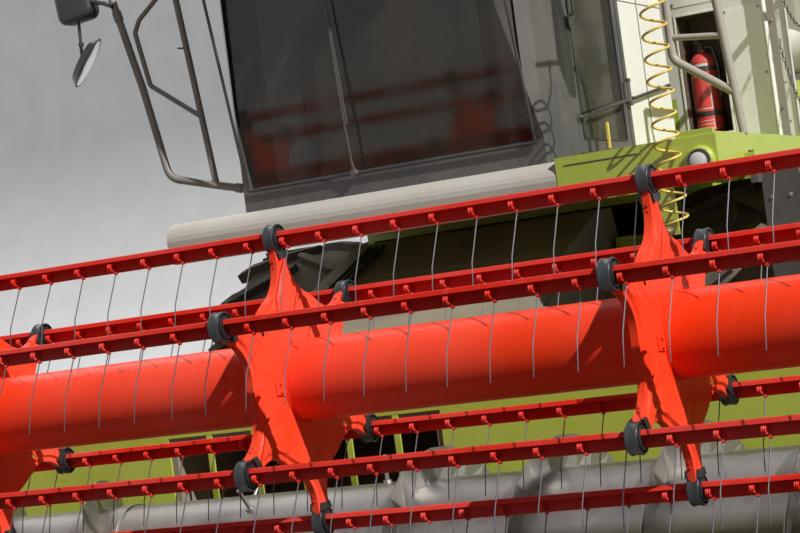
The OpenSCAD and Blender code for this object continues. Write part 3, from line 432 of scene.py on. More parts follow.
FIELD_DUST = group("field_dust", {"Amount": (NUMBER, 0.4), "Straw": (NUMBER, 0.5)},
                   {"Film": NUMBER, "Straws": NUMBER}, build_field_dust)
PAINT_WEAR = group("paint_wear", {"Amount": (NUMBER, 0.3), "Scale": (NUMBER, 14.0)},
                   {"Chips": NUMBER, "Scuffs": NUMBER}, build_paint_wear)
SPRAYED_SKIN = group("sprayed_skin", {"Scale": (NUMBER, 160.0)}, {"Height": NUMBER}, build_sprayed_skin)
COLOUR_DRIFT = group("colour_drift", {"Colour": (COLOUR, (1, 1, 1, 1)), "Drift": (NUMBER, 0.06)},
                     {"Colour": COLOUR}, build_colour_drift)

DUST = (0.46, 0.37, 0.245, 1)
STRAW = (0.80, 0.66, 0.36, 1)


SLOT_OF = {}


def begin(name, slot=None):
    """A material and its empty wiring, kept under the slot that its pieces go in: its own name, unless
    given."""
    material = bpy.data.materials.new(name)
    SLOT_OF[material.name] = slot or name
    material.use_nodes = True
    w = Wiring(material.node_tree)
    material.node_tree.nodes.clear()
    shader, out = w.add("ShaderNodeBsdfPrincipled"), w.add("ShaderNodeOutputMaterial")
    w.feed(out.inputs["Surface"], shader)
    return material, w, shader.inputs


def placed(w, tree, **values):
    """A node group placed in a material with its own values."""
    node = w.add("ShaderNodeGroup", node_tree=tree)
    for label, value in values.items():
        w.feed(node.inputs[label], value)
    return node.outputs


def coated(name, colour, rough=0.35, under=None, chips=0.0, dust=0.35, straw=0.5, drift=0.06, coat=0.0,
           metal=0.0, skin_scale=160.0, skin=0.05, chip_scale=14.0, gloss=0.5, slot=None):
    """A coated or moulded surface: drifting colour, chips down to what is under it, scuffs, dust and
    straws."""
    material, w, put = begin(name, slot)
    base = placed(w, COLOUR_DRIFT, Colour=(*colour, 1), Drift=drift)["Colour"]
    lie = placed(w, FIELD_DUST, Amount=dust, Straw=straw)
    roughness = w.line(lie["Film"], 0.5, rough)
    height = placed(w, SPRAYED_SKIN, Scale=skin_scale)["Height"]
    if under is not None:
        wear = placed(w, PAINT_WEAR, Amount=chips, Scale=chip_scale)
        base = w.mix(w.line(wear["Scuffs"], 0.35), base,
                     tuple(min(1, 0.45 * c + 0.28) for c in colour) + (1,))
        base = w.mix(wear["Chips"], base, (*under, 1))
        height = w.math("SUBTRACT", height, w.line(wear["Chips"], 0.6))
        roughness = w.math("ADD", roughness, w.line(wear["Scuffs"], 0.18), True)
    base = w.mix(lie["Film"], base, DUST)
    base = w.mix(lie["Straws"], base, STRAW)
    height = w.math("ADD", height, w.line(lie["Straws"], 0.8))
    w.feed(put["Base Color"], base)
    w.feed(put["Roughness"], roughness)
    put["Metallic"].default_value = metal
    put["Coat Weight"].default_value = coat
    put["Coat Roughness"].default_value = 0.08
    put["Specular IOR Level"].default_value = gloss
    w.feed(put["Normal"], w.add("ShaderNodeBump", {"Height": height, "Strength": skin, "Distance": 0.004}))
    return material


def tinted(name, colour, dust, slot=None):
    """Tinted glass under a film of dust."""
    material, w, put = begin(name, slot)
    lie = placed(w, FIELD_DUST, Amount=dust, Straw=0.55)
    base = w.mix(lie["Film"], (*colour, 1), (0.36, 0.31, 0.22, 1))
    w.feed(put["Base Color"], w.mix(lie["Straws"], base, STRAW))
    w.feed(put["Roughness"], w.ramp(lie["Film"], 0.0, 0.6, 0.04, 0.7))
    w.feed(put["Alpha"], w.ramp(w.math("ADD", lie["Film"], lie["Straws"]), 0.0, 0.8, 0.62, 0.97))
    put["IOR"].default_value = 1.5
    put["Specular IOR Level"].default_value = 0.6
    return material


def woven(name, colour, second):
    """A plain weave: two crossed waves, one over the other in turn, with a second thread colour here and
    there."""
    material, w, put = begin(name)
    place = w.add("ShaderNodeTexCoord").outputs["Object"]
    axes = w.add("ShaderNodeSeparateXYZ", {0: place}).outputs
    across = w.math("SINE", w.math("MULTIPLY", axes[0], 1500.0))
    along = w.math("SINE", w.math("MULTIPLY", w.math("ADD", axes[1], axes[2]), 1500.0))
    cross = w.math("MULTIPLY", across, along)
    fleck = w.ramp(w.noise(place, 420.0, 2.0), 0.5, 0.66)
    base = w.mix(fleck, (*colour, 1), (*second, 1))
    lie = placed(w, FIELD_DUST, Amount=0.22, Straw=0.2)
    w.feed(put["Base Color"], w.mix(lie["Film"], base, DUST))
    w.feed(put["Roughness"], w.ramp(cross, -1, 1, 0.82, 0.97))
    put["Sheen Weight"].default_value = 0.35
    put["Sheen Roughness"].default_value = 0.5
    w.feed(put["Normal"], w.add("ShaderNodeBump", {"Height": cross, "Strength": 0.5, "Distance": 0.0006}))
    return material


RED = (0.93, 0.045, 0.005)
red_paint = coated("red_paint", RED, 0.36, (0.33, 0.12, 0.06), chips=0.10, dust=0.03, drift=0.05, gloss=0.07)
red_bar_paint = coated("red_bar_paint", (0.70, 0.018, 0.006), 0.38, (0.28, 0.16, 0.11), chips=0.22,
                       dust=0.05, straw=0.35, slot="red_paint", gloss=0.1)
lime_paint = coated("lime_paint", (0.43, 0.53, 0.035), 0.34, (0.30, 0.32, 0.22), chips=0.18, dust=0.34,
                    straw=0.8, drift=0.05, coat=0.25)
pale_paint = coated("pale_paint", (0.74, 0.73, 0.64), 0.38, (0.36, 0.33, 0.27), chips=0.14, dust=0.26,
                    straw=0.45, drift=0.04, coat=0.2)
dark_paint = coated("dark_paint", (0.045, 0.046, 0.050), 0.45, (0.22, 0.20, 0.18), chips=0.26, dust=0.42,
                    drift=0.08, coat=0.1)
worn_steel = coated("worn_steel", (0.30, 0.29, 0.28), 0.40, (0.24, 0.13, 0.07), chips=0.38, dust=0.34,
                    straw=0.4, drift=0.10, metal=0.9, skin_scale=60.0, skin=0.08)
tine_steel = coated("tine_steel", (0.045, 0.038, 0.050), 0.45, (0.20, 0.10, 0.06), chips=0.3, dust=0.06,
                    straw=0.0, drift=0.10, metal=0.3, skin_scale=90.0, skin=0.06,
                    chip_scale=60.0, slot="worn_steel")
tyre_rubber = coated("tyre_rubber", (0.030, 0.029, 0.028), 0.74, dust=0.75, straw=0.35, drift=0.12,
                     skin_scale=220.0, skin=0.16, slot="tyre")
cap_rubber = coated("cap_rubber", (0.012, 0.014, 0.018), 0.38, (0.06, 0.06, 0.06), chips=0.10, dust=0.05,
                    straw=0.3, drift=0.10, skin_scale=420.0, skin=0.10, slot="black_plastic")
black_plastic = coated("black_plastic", (0.020, 0.021, 0.023), 0.42, (0.10, 0.10, 0.10), chips=0.10,
                       dust=0.20, straw=0.3, drift=0.10, skin_scale=420.0, skin=0.10)
pale_plastic = coated("pale_plastic", (0.60, 0.59, 0.52), 0.42, dust=0.30, straw=0.4, drift=0.04,
                      skin_scale=300.0, skin=0.06)
step_coating = coated("step_coating", (0.56, 0.54, 0.49), 0.5, (0.20, 0.18, 0.15), chips=0.2, dust=0.4,
                      straw=0.6, skin_scale=500.0, skin=0.12)
extinguisher_red = coated("extinguisher_red", (0.62, 0.022, 0.016), 0.26, (0.3, 0.2, 0.15), chips=0.08,
                          dust=0.22, drift=0.04, coat=0.4)
hose_yellow = coated("hose_yellow", (0.80, 0.56, 0.055), 0.30, (0.34, 0.22, 0.06), chips=0.30, dust=0.30,
                     straw=0.0, drift=0.10, coat=0.3, skin_scale=260.0, chip_scale=22.0)
lamp_lens = coated("lamp_lens", (0.72, 0.73, 0.72), 0.12, dust=0.18, straw=0.2, drift=0.03, coat=0.6)
orange_lens = coated("orange_lens", (0.85, 0.22, 0.02), 0.18, dust=0.15, straw=0.2, drift=0.03,
                     coat=0.6, slot="lamp_lens")
rear_red = coated("rear_red", (0.55, 0.015, 0.012), 0.18, dust=0.15, straw=0.2, drift=0.03,
                  coat=0.6, slot="lamp_lens")
cab_glass_tint = tinted("cab_glass_tint", (0.034, 0.034, 0.028), 0.52, slot="tinted_glass")
seat_cloth = woven("seat_cloth", (0.040, 0.042, 0.048), (0.11, 0.11, 0.12))

rail_paint = coated("rail_paint", (0.38, 0.35, 0.28), 0.40, (0.26, 0.18, 0.12), chips=0.22, dust=0.30,
                    straw=0.4, coat=0.1, slot="pale_paint", gloss=0.35)
grey_tube = coated("grey_tube", (0.20, 0.19, 0.17), 0.45, (0.30, 0.22, 0.15), chips=0.22, dust=0.40,
                   straw=0.6, drift=0.08, slot="pale_paint")
wall_grey = coated("wall_grey", (0.80, 0.79, 0.70), 0.42, (0.30, 0.26, 0.20), chips=0.14, dust=0.22,
                   straw=0.6, drift=0.05, coat=0.1, slot="pale_paint")
# Dark brown lining for the wall's recess: the darkness is painted shade for the recess's dim inside; the dust
# and straws on it are real.
recess_painted_shade = coated("recess_painted_shade", (0.075, 0.042, 0.028), 0.7, (0.16, 0.11, 0.07), chips=0.2, dust=0.22,
                      straw=0.9, drift=0.12, slot="dark_paint")
wiper_grey = coated("wiper_grey", (0.07, 0.066, 0.058), 0.5, dust=0.25, slot="black_plastic")
chain_steel = coated("chain_steel", (0.16, 0.14, 0.12), 0.45, (0.20, 0.10, 0.05), chips=0.4, dust=0.2,
                     straw=0.0, drift=0.10, metal=0.6, skin_scale=60.0, skin=0.08, slot="worn_steel")
mirror_glass = coated("mirror_glass", (0.55, 0.57, 0.58), 0.06, dust=0.14, straw=0.2, drift=0.02, metal=1.0,
                      slot="black_plastic")
# Dark olive-grey for the feeder house and chassis: its darkness is painted shade for the shaded underside
# behind the reel; the dust and straws on it are real grime.
shade_and_grime_paint = coated("shade_and_grime_paint", (0.22, 0.195, 0.135), 0.66, (0.16, 0.12, 0.08), chips=0.3, dust=0.50,
                     straw=1.0, drift=0.12, slot="dark_paint", gloss=0.3)

PART_FINISHES = (lime_paint, pale_paint, red_paint, dark_paint, worn_steel, tyre_rubber, cab_glass_tint,
                 black_plastic, pale_plastic, seat_cloth, step_coating, extinguisher_red, hose_yellow,
                 lamp_lens)
FINISH = {SLOT_OF[m.name]: m for m in PART_FINISHES}
# The feeder house and chassis take the dark finish, whose darkness is painted shade.
UNDER_THE_CAB = ("feeder_house", "chassis_frame")
for part in frame["record"]["subparts"]:
    if part["node"] in nodes:
        faces_of = nodes[part["node"]].data.materials
        for k in range(len(faces_of)):
            faces_of[k] = shade_and_grime_paint if part["node"] in UNDER_THE_CAB else FINISH[part["material_slot"]]

# The coiled air hose, and what holds its ends

HOSE_D = 12
COIL_R = 56
COIL_AXIS = np.array([[1575, -1915, 3040], [1560, -1915, 2600], [1545, -1915, 2100], [1535, -1915, 1600]])
HOSE_TOP = 3052


def hose_path():
    """The hose's centre line: its heading and slope are summed over equal steps. It drops straight, eases
    into a coil that turns right as it sinks, each turn a little closer than the last, and ends level,
    heading back."""
    step = 3.0
    first_heading = math.radians(-53)
    turns = 13 + (270 - 53) / 360
    pitch_top, pitch_low = 108, 88
    drop = np.arange(0, 40, step)
    ease = np.linspace(0, 1, 37)
    slope_top = math.asin(pitch_top / math.hypot(2 * math.pi * COIL_R, pitch_top))
    per_turn = math.hypot(2 * math.pi * COIL_R, pitch_top)
    share = np.linspace(0, 1, int(turns * per_turn / step))
    pitch = pitch_top + (pitch_low - pitch_top) * share
    rate = 2 * math.pi / np.hypot(2 * math.pi * COIL_R, pitch) * step
    rate = rate * np.clip(share * len(share) * step / 60, 0, 1)
    rate *= 2 * math.pi * turns / rate.sum()
    slope = np.arcsin(pitch / np.hypot(2 * math.pi * COIL_R, pitch))
    level = np.linspace(slope[-1], 0, 20)
    down = math.pi / 2
    into_coil = down + (slope_top - down) * (3 * ease ** 2 - 2 * ease ** 3)
    incline = np.concatenate([np.full(len(drop), down), into_coil, slope, level, np.zeros(8)])
    before = len(drop) + len(ease)
    after = len(level) + 8
    turned = np.concatenate([np.zeros(before), np.cumsum(rate), np.full(after, 2 * math.pi * turns)])
    heading = first_heading - turned
    flat = np.cos(incline)
    way = np.stack([flat * np.cos(heading), flat * np.sin(heading), -np.sin(incline)], -1)
    path = np.concatenate([[[0, 0, 0]], np.cumsum(way * step, 0)])
    coil = path[before + 60:len(path) - after]
    path = path - [coil[:, 0].mean(), coil[:, 1].mean(), 0]
    z = HOSE_TOP + path[:, 2]
    axis_x = np.interp(z, COIL_AXIS[::-1, 2], COIL_AXIS[::-1, 0])
    return np.stack([path[:, 0] + axis_x, path[:, 1] + COIL_AXIS[0][1], z], -1)[::4]


def make_hose():
    path = hose_path()
    hose = piece("coiled_air_hose", [bar_along(path, HOSE_D, 10)], hose_yellow, smooth=60,
                 stands_for=("air_hose",))
    top, end = path[0], path[-1]
    arm_x, arm_z = 1580.5, 3075
    clamp = [collar(-11, 11, 10.2, 14, (arm_x, top[1], arm_z), "y", 24),
             bar_along([[arm_x, top[1], arm_z - 11], [arm_x, top[1], arm_z - 17],
                        [top[0], top[1], top[2] + 1]], [18, 15, 13], 6)]
    ferrule = [bar_along([top + [0, 0, 3], top - [0, 0, 22]], 17, 20)]
    hanger = piece("hose_hanger", clamp + ferrule, worn_steel, edge=0.8)
    plate_y = -1840
    x, z = end[0], end[2]
    union = [bar_along([end - [0, 14, 0], [x, plate_y - 14, z]], 17, 20)]
    for start, stop, d, sides in ((-15, 0, 26, 6), (-2, 0, 34, 24), (8, 20, 26, 6)):
        union.append(bar_along([[x, plate_y + start, z], [x, plate_y + stop, z]], d, sides))
    pipe = [[x, plate_y + 18, z], [x, plate_y + 60, z], [x, plate_y + 62, z + 280]]
    union.append(bar_along(bent(pipe, 30), 13, 12))
    coupling = piece("hose_coupling", union, worn_steel, edge=0.8)
    tuple(at(top))
    [tuple(p) for p in at(path)]


make_hose()

# The reel's tube and spiders

TUBE_R = 153
BAR_ROOM = 44
ARM_HALF = 40
WEB_R = 347
FILLET_R = 150


def star_loop(inset):
    """A spider's outline moved inwards by inset: for each arm a tip hollowed round its bar, an arc that
    turns out of its side and an arc of the web between two arms, all sharing their centres, so that every
    inset has the same points."""
    far = WEB_R + FILLET_R
    lean = math.asin((ARM_HALF + FILLET_R) / far)
    centre = far * np.array([math.cos(lean), math.sin(lean)])
    web = np.linspace(math.pi / 6, lean, 7)[:-1]
    side = np.linspace(lean + math.pi, 1.5 * math.pi, 15)
    tip = np.array([1, 0.8, 0.55, 0.28]) * (ARM_HALF - inset)
    half = np.concatenate([(WEB_R - inset) * np.stack([np.cos(web), np.sin(web)], -1),
                           centre + (FILLET_R + inset) * np.stack([np.cos(side), np.sin(side)], -1),
                           [[490, ARM_HALF - inset]],
                           np.stack([REEL_R - np.sqrt((BAR_ROOM + inset) ** 2 - tip ** 2), tip], -1)])
    arm = np.concatenate([half, [[REEL_R - BAR_ROOM - inset, 0]], half[:0:-1] * [1, -1]])
    return np.concatenate([arm @ np.array([[math.cos(t), math.sin(t)], [-math.sin(t), math.cos(t)]])
                           for t in -np.arange(6) * math.pi / 3])


def within(points, loop):
    """True where a point lies inside a loop: an upward ray crosses it an odd number of times."""
    a, b = loop, np.roll(loop, -1, 0)
    x, y = points[:, :1], points[:, 1:]
    across = (a[:, 0] > x) != (b[:, 0] > x)
    height = a[:, 1] + (x - a[:, 0]) * (b[:, 1] - a[:, 1]) / np.where(b[:, 0] == a[:, 0],
        1e-9, b[:, 0] - a[:, 0])
    return (across & (height > y)).sum(1) % 2 == 1


def cut_sheet(outline, holes, creases, spacing):
    """Points and triangles of a flat sheet inside an outline and outside its holes: a triangular grid of
    points that keep clear of every line, joined by Delaunay triangles that respect the lines."""
    loops = [outline] + holes + creases
    lines = np.concatenate(loops)
    low, high = outline.min(0), outline.max(0)
    gx, gy = np.meshgrid(np.arange(low[0], high[0], spacing), np.arange(low[1], high[1], spacing * 0.866))
    gx = gx + (np.arange(len(gy))[:, None] % 2) * spacing / 2
    grid = np.stack([gx.ravel(), gy.ravel()], -1)
    near = np.concatenate([((part[:, None] - lines[None]) ** 2).sum(-1).min(1)
                           for part in np.array_split(grid, 20)])
    grid = grid[(near > (spacing * 0.55) ** 2) & within(grid, outline)]
    ends = np.cumsum([len(loop) for loop in loops])
    edges = [(k, k + 1 if k + 1 < end else start) for start, end in zip([0, *ends[:-1]], ends)
             for k in range(start, end)]
    points, _, faces, sources, _, _ = delaunay_2d_cdt([Vector(p) for p in np.concatenate([lines, grid])],
                                                      edges, [], 0, 1e-4)
    points, faces = np.array([p[:] for p in points]), np.array([f for f in faces])
    middle = points[faces].mean(1)
    keep = within(middle, outline)
    for hole in holes:
        keep &= ~within(middle, hole)
    number = np.empty(len(lines), int)
    for k, given in enumerate(sources):
        for g in given:
            if g < len(lines):
                number[g] = k
    starts = [0, *ends[:len(holes)]]
    return points, faces[keep], [number[a:a + len(loop)] for a, loop in zip(starts, loops)]


def plate_shell(sheet, front, back, rims, inset):
    """A plate between two heights over a flat sheet, and a wall round each loop that stands out to its rim,
    inset from both faces."""
    flat, faces, loops = sheet
    n = len(flat)
    top, low = np.concatenate([front[:, None], flat], 1), np.concatenate([back[:, None], flat], 1)
    points, count = [top, low], 2 * n
    quads = []
    for loop, rim in zip(loops, rims):
        k = len(loop)
        points += [np.concatenate([front[loop][:, None] - inset, rim], 1),
                   np.concatenate([back[loop][:, None] + inset, rim], 1)]
        rows = [loop, count + np.arange(k), count + k + np.arange(k), n + loop]
        count += 2 * k
        for r, s in zip(rows, rows[1:]):
            quads.append(np.stack([r, np.roll(r, -1), np.roll(s, -1), s], -1))
    a, b, c = flat[faces[:, 0]], flat[faces[:, 1]], flat[faces[:, 2]]
    up = ((b - a)[:, 0] * (c - a)[:, 1] - (b - a)[:, 1] * (c - a)[:, 0] > 0)[:, None]
    faces = np.where(up, faces, faces[:, ::-1])
    def area(loop):
        p, q = flat[loop], flat[np.roll(loop, -1)]
        return (p[:, 0] * q[:, 1] - p[:, 1] * q[:, 0]).sum()
    turned = [area(loops[0]) > 0] + [area(loop) < 0 for loop in loops[1:]]
    quads = [q[:, ::-1] if turned[i // 3] else q for i, q in enumerate(quads)]
    return np.concatenate(points), [np.concatenate([faces, faces[:, ::-1] + n]), np.concatenate(quads)]


def smooth_step(t):
    t = np.clip(t, 0, 1)
    return t * t * (3 - 2 * t)


def spider_height(p, edges):
    """The pressed sheet's two faces. The front is 15 high at the rim and 25 on the panel that starts about
    25 inside it, less a slot, a dimple and a fold on every arm, more a short rib over every root; each is a
    smooth step of the distance to its own line. The back lies 4 behind it, and drops to -15 along the rim's
    flange."""
    def bump(d, wide):
        return smooth_step(1 - d / wide)
    near = np.concatenate([np.sqrt(((part[:, None] - edges[None]) ** 2).sum(-1).min(1))
                           for part in np.array_split(p, 20)])
    angle = np.arctan2(p[:, 1], p[:, 0])
    angle = (angle + math.pi / 6) % (math.pi / 3) - math.pi / 6
    r = np.hypot(p[:, 0], p[:, 1])
    x, y = r * np.cos(angle), r * np.sin(angle)
    def to_line(ax, ay, bx, by):
        dx, dy = bx - ax, by - ay
        t = np.clip(((x - ax) * dx + (y - ay) * dy) / (dx * dx + dy * dy), 0, 1)
        return np.hypot(x - ax - t * dx, y - ay - t * dy)
    h = 15.5 + 9.5 * smooth_step((near - 19) / 9)
    h -= 8 * bump(to_line(383, -28, 327, -41), 6)
    h -= 5 * bump(to_line(366, 30, 367, 31), 11)
    h -= 5 * bump(to_line(296, -108, 308, -114), 12)
    h -= 3.5 * bump(to_line(345, 20, 240, -2), 16)
    h += 5 * bump(abs(r - 258) + 260 * np.clip(abs(angle - 0.213) - 0.10, 0, 1), 9)
    h += 4.5 * bump(to_line(222, -54, 266, -66), 10)
    h -= 3 * bump(np.where(r > 196, abs(p[:, 0]), 99), 5) * (abs(p[:, 0]) < 30)
    return h, np.where(near < 5.2, -15.5, h - 4)


def spider_shell():
    """One spider round the X axis, first arm along +Y of its own plane: see spider_height and
    plate_shell."""
    t = np.arange(18) * math.pi / 9
    oval = np.stack([308.5 + 15 * np.cos(t) - 3 * np.sin(t), 63.9 + 8 * np.sin(t) + 5 * np.cos(t)], -1)
    def spun(loop, k):
        c, s = math.cos(k * math.pi / 3), math.sin(k * math.pi / 3)
        return loop @ np.array([[c, s], [-s, c]])
    bore = (TUBE_R - 10) * np.stack([np.cos(np.arange(72) * math.pi / 36),
                                     np.sin(np.arange(72) * math.pi / 36)], -1)
    outline = star_loop(2.5)
    holes = [bore] + [spun(oval, k) for k in range(6)]
    creases = [star_loop(d) for d in (5, 6.2, 19, 23.5, 28)]
    slot = np.array([[386, -30.5], [385, -25], [326, -38], [325, -43.5]])
    creases += [spun(slot, k) for k in range(6)]
    sheet = cut_sheet(outline, holes, creases, 13)
    front, back = spider_height(sheet[0], star_loop(0))
    grown = [bore] + [spun((oval - [308.5, 63.9]) * 0.86 + [308.5, 63.9], k) for k in range(6)]
    points, faces = plate_shell(sheet, front, back, [star_loop(0)] + grown, 1.6)
    return outward((around_reel(points, BAR_LEAD), faces))


def around_reel(points, degrees):
    """Points given as (x, along an arm, across it), put on the arm at an angle round the reel's axis."""
    a = math.radians(degrees)
    p = np.asarray(points, float)
    along, across = [0, -math.sin(a), math.cos(a)], [0, math.cos(a), math.sin(a)]
    return p[..., :1] * [1, 0, 0] + p[..., 1:2] * along + p[..., 2:3] * across + [0, *REEL]


def hub_joint(k, degrees):
    """The tabs and bolts where a spider's two halves meet round the tube, and a clamp lip on the tube
    beside them."""
    x0 = SPIDER_X[k] + 23
    tab = np.array([[x0, 158, -34], [x0 + 8, 158, -34], [x0 + 8, 214, -26], [x0, 214, -26]])
    other = tab * [1, 1, 0] + [0, 0, 1] * np.array([[30], [30], [24], [24]])
    out = [skin([around_reel(tab, degrees), around_reel(other, degrees)])]
    spots = np.array([[x0 + 8, 186, -17], [x0 + 8, 186, 14], [x0 + 1, 335, -9]])
    out += bolts(around_reel(spots, degrees), [1, 0, 0], 15, 9)
    out += bolts(around_reel(spots - [14, 0, 0], degrees), [-1, 0, 0], 15, 12)
    return out


def make_reel_tube():
    half = 3770
    bead = 1.6
    profile = [[-half, 0], [-half, 36], [-half, 150], [-half + 3, TUBE_R]]
    for x in (SPIDER_X[:, None] + [-34, 34]).ravel()[1:-1]:
        profile += [[x - 9, TUBE_R], [x - 5, TUBE_R], [x, TUBE_R + bead], [x + 5, TUBE_R], [x + 9, TUBE_R]]
    profile += [[half - 3, TUBE_R], [half, 150], [half, 36], [half, 0]]
    rounds = lathe(profile, (0, *REEL), "x", 96)
    shaft = [lathe([[s * 3760, 0], [s * 3760, 60], [s * 3790, 52], [s * 3792, 35], [s * 3891, 35],
                    [s * 3891, 0]], (0, *REEL), "x", 40) for s in (-1, 1)]
    collars = [collar(x - 30, x + 30, TUBE_R - 1, TUBE_R + 5, (0, *REEL), "x", 96) for x in SPIDER_X]
    piece("reel_tube", [rounds] + shaft + collars, red_paint, "reel", smooth=35, stands_for=("reel_rotor",))
    star = spider_shell()
    for k in range(6):
        shells = [shifted(star, (SPIDER_X[k], 0, 0))] + hub_joint(k, 94) + hub_joint(k, -87)
        piece(f"reel_spider_{k + 1}", shells, red_paint, "reel", smooth=38)


make_reel_tube()


def bar_centre(i):
    a = math.radians(BAR_LEAD + 60 * i)
    return np.array([REEL[0] - REEL_R * math.sin(a), REEL[1] + REEL_R * math.cos(a)])


def on_bar(shell, i, pitched=True):
    """A shell drawn round (0, 0) put on bar i, with the bar's own pitch."""
    c = bar_centre(i)
    pitch = Matrix.Rotation(math.radians(BAR_PITCH if pitched else 0), 4, "X")
    return moved(shell, np.array(Matrix.Translation((0, *c)) @ pitch))


def arm_frame(i):
    """Bar i's centre, and the directions from it towards the reel's axis and across its arm."""
    a = math.radians(BAR_LEAD + 60 * i)
    inward, side = np.array([0, math.sin(a), -math.cos(a)]), np.array([0, math.cos(a), math.sin(a)])
    return np.array([0, *bar_centre(i)]), inward, side


def cap_shells(k, i):
    """A bearing cap: a strap with a raised rim on each side, a hollow between strap and bore crossed by
    ribs, and a foot bolted to the arm's tip."""
    x = SPIDER_X[k]
    c, inward, side = arm_frame(i)
    hollow = 12
    profile = [[-22, 54], [-22, 50], [-22 + hollow, 49], [-22 + hollow, 42], [-22, 41], [-22, 38.5],
               [22, 38.5], [22, 41], [22 - hollow, 42], [22 - hollow, 49], [22, 50], [22, 54],
               [19, 56.5], [15, 56.5], [12, 54], [-12, 54], [-15, 56.5], [-19, 56.5]]
    out = [shifted(lathe(profile, (0, 0, 0), "x", 40), (x, c[1], c[2]))]
    for t in np.arange(12) * math.pi / 6 + 0.2:
        w = np.array([0, math.cos(t), math.sin(t)])
        s = np.array([0, -math.sin(t), math.cos(t)]) * 1.6
        rib = np.array([w * 41 - s, w * 50 - s, w * 50 + s, w * 41 + s]) + [x, c[1], c[2]]
        out += [skin([rib - [20, 0, 0], rib + [20, 0, 0]])]
    out.append(lathe([[x - 24, 20], [x - 24, 37], [x - 20, 38], [x + 20, 38], [x + 24, 37], [x + 24, 20]],
                     c, "x", 32))
    foot = [inward * 46 - side * 38, inward * 74 - side * 27, inward * 74 + side * 27,
            inward * 46 + side * 38]
    out.append(skin([np.array(foot) + [x + dx, c[1], c[2]] for dx in (-27, 27)]))
    return out


def cap_bolts(k, i):
    x = SPIDER_X[k]
    c, inward, side = arm_frame(i)
    spots = [c + inward * along for along in (83, 103)]
    return [b for w in (-1, 1) for b in bolts([p + side * w * 39.5 + [x, 0, 0] for p in spots], side * w,
                                              10, 5)]


def make_caps():
    places = [(k, i) for k in range(6) for i in range(6)]
    straps = [s for place in places for s in cap_shells(*place)]
    heads = [s for place in places for s in cap_bolts(*place)]
    piece("bearing_caps", straps, cap_rubber, "reel", smooth=40, stands_for=("reel_caps",))
    piece("cap_bolts", heads, red_bar_paint, "reel", smooth=30)


make_caps()

# Bars and tines

BAR_HALF = 3780
TINES = 47
TINE_PITCH = 158


def bar_outline():
    """The bar's section: a lip at the front, a top, and a deep web at the back, with rounded bends."""
    outer = bent([[0, -24, 2], [0, -24, 22], [0, 18, 22], [0, 18, -31]], 6, 4)[:, 1:]
    inner = bent([[0, 14, -31], [0, 14, 18], [0, -20, 18], [0, -20, 2]], 3, 3)[:, 1:]
    return np.concatenate([outer, inner])


def coil_shell(x):
    """Three turns of a tine's wire round the bar's inside, as one ribbed barrel."""
    profile = [[-9, 9], [-9, 16], [-6, 18], [-3, 15.7], [0, 18], [3, 15.7], [6, 18], [9, 16], [9, 9]]
    return lathe(profile, (x, -5, -14), "x", 9)


def tine_shell(x, bend):
    """A tine: out of its coil, down and forward, then back from the bend to the point, and clear of every
    cap's foot."""
    start = x + 14
    spider = SPIDER_X[abs(SPIDER_X - start).argmin()]
    x = spider + math.copysign(max(abs(start - spider), 40), start - spider)
    path = np.array([[start, 10, -18], [x, 12, -34], [x, -17.5 + bend[0], -211],
                     [x + bend[1] * 0.5, -4 + bend[0] * 2, -318]])
    return bar_along(path, [5.0, 4.8, 4.8, 4.0], 5)


def make_bars():
    rng = np.random.default_rng(7)
    for i in range(6):
        count = TINES - i % 2
        places = (np.arange(count) - (count - 1) / 2) * TINE_PITCH
        bar = skin([np.concatenate([np.full((len(bar_outline()), 1), x), bar_outline()], 1)
                    for x in (-BAR_HALF, BAR_HALF)])
        knobs = [block((x + 9, x + 19), (5, 19), (-38, -29)) for x in places]
        plate = prism([[-22, 30], [26, 18], [22, -20], [-16, -109], [-44, -109]],
                      BAR_HALF + 0.3, BAR_HALF + 8)
        pin = lathe([[BAR_HALF + 1, 0], [BAR_HALF + 1, 9], [BAR_HALF + 28, 9], [BAR_HALF + 28, 0]],
                    (0, -30, -95), "x", 24)
        shells = [on_bar(s, i) for s in [bar] + knobs] + [on_bar(s, i, False) for s in (plate, pin)]
        body = f"tine_bar_{i + 1}"
        piece(f"tine_bar_dressed_{i + 1}", shells, red_bar_paint, body, smooth=35, stands_for=(body,))
        piece(f"tine_coils_{i + 1}", [on_bar(coil_shell(x), i) for x in places],
              red_bar_paint, body, smooth=50)
        bends = rng.normal(0, [1.5, 2.5], (count, 2))
        piece(f"tine_wires_{i + 1}", [on_bar(tine_shell(x, b), i) for x, b in zip(places, bends)],
              tine_steel, body, smooth=50)


make_bars()

# Rails, mirror tubes and the chains beside the walkway

def chain(start, end, low, link=34, wire=5.0):
    """Links along a parabola through two ends and a lowest height, every other link turned a quarter; a
    link is an oval ring of round wire."""
    a, b = np.asarray(start, float), np.asarray(end, float)
    t = np.linspace(0, 1, 400)[:, None]
    sag = (a[2] + b[2]) / 2 - low
    way = a + (b - a) * t - [0, 0, 4 * sag] * (t * (1 - t))
    run = np.concatenate([[0], np.cumsum(np.linalg.norm(np.diff(way, axis=0), axis=1))])
    spots = np.arange(link * 0.4, run[-1], link - 2 * wire)
    points = np.stack([np.interp(spots, run, way[:, k]) for k in range(3)], -1)
    ahead = np.gradient(points, axis=0)
    ahead /= np.linalg.norm(ahead, axis=1)[:, None]
    level = np.cross(ahead, [0, 0, 1])
    level /= np.linalg.norm(level, axis=1)[:, None]
    s = np.arange(10) * np.pi / 5
    oval = np.stack([np.cos(s) * (link - wire) / 2, np.sin(s) * 7.5], -1)
    out = []
    for k, (p, d, w) in enumerate(zip(points, ahead, level)):
        across = w if k % 2 else np.cross(d, w)
        out.append(bar_along(p + oval[:, :1] * d + oval[:, 1:] * across, wire, 5, True))
    return out


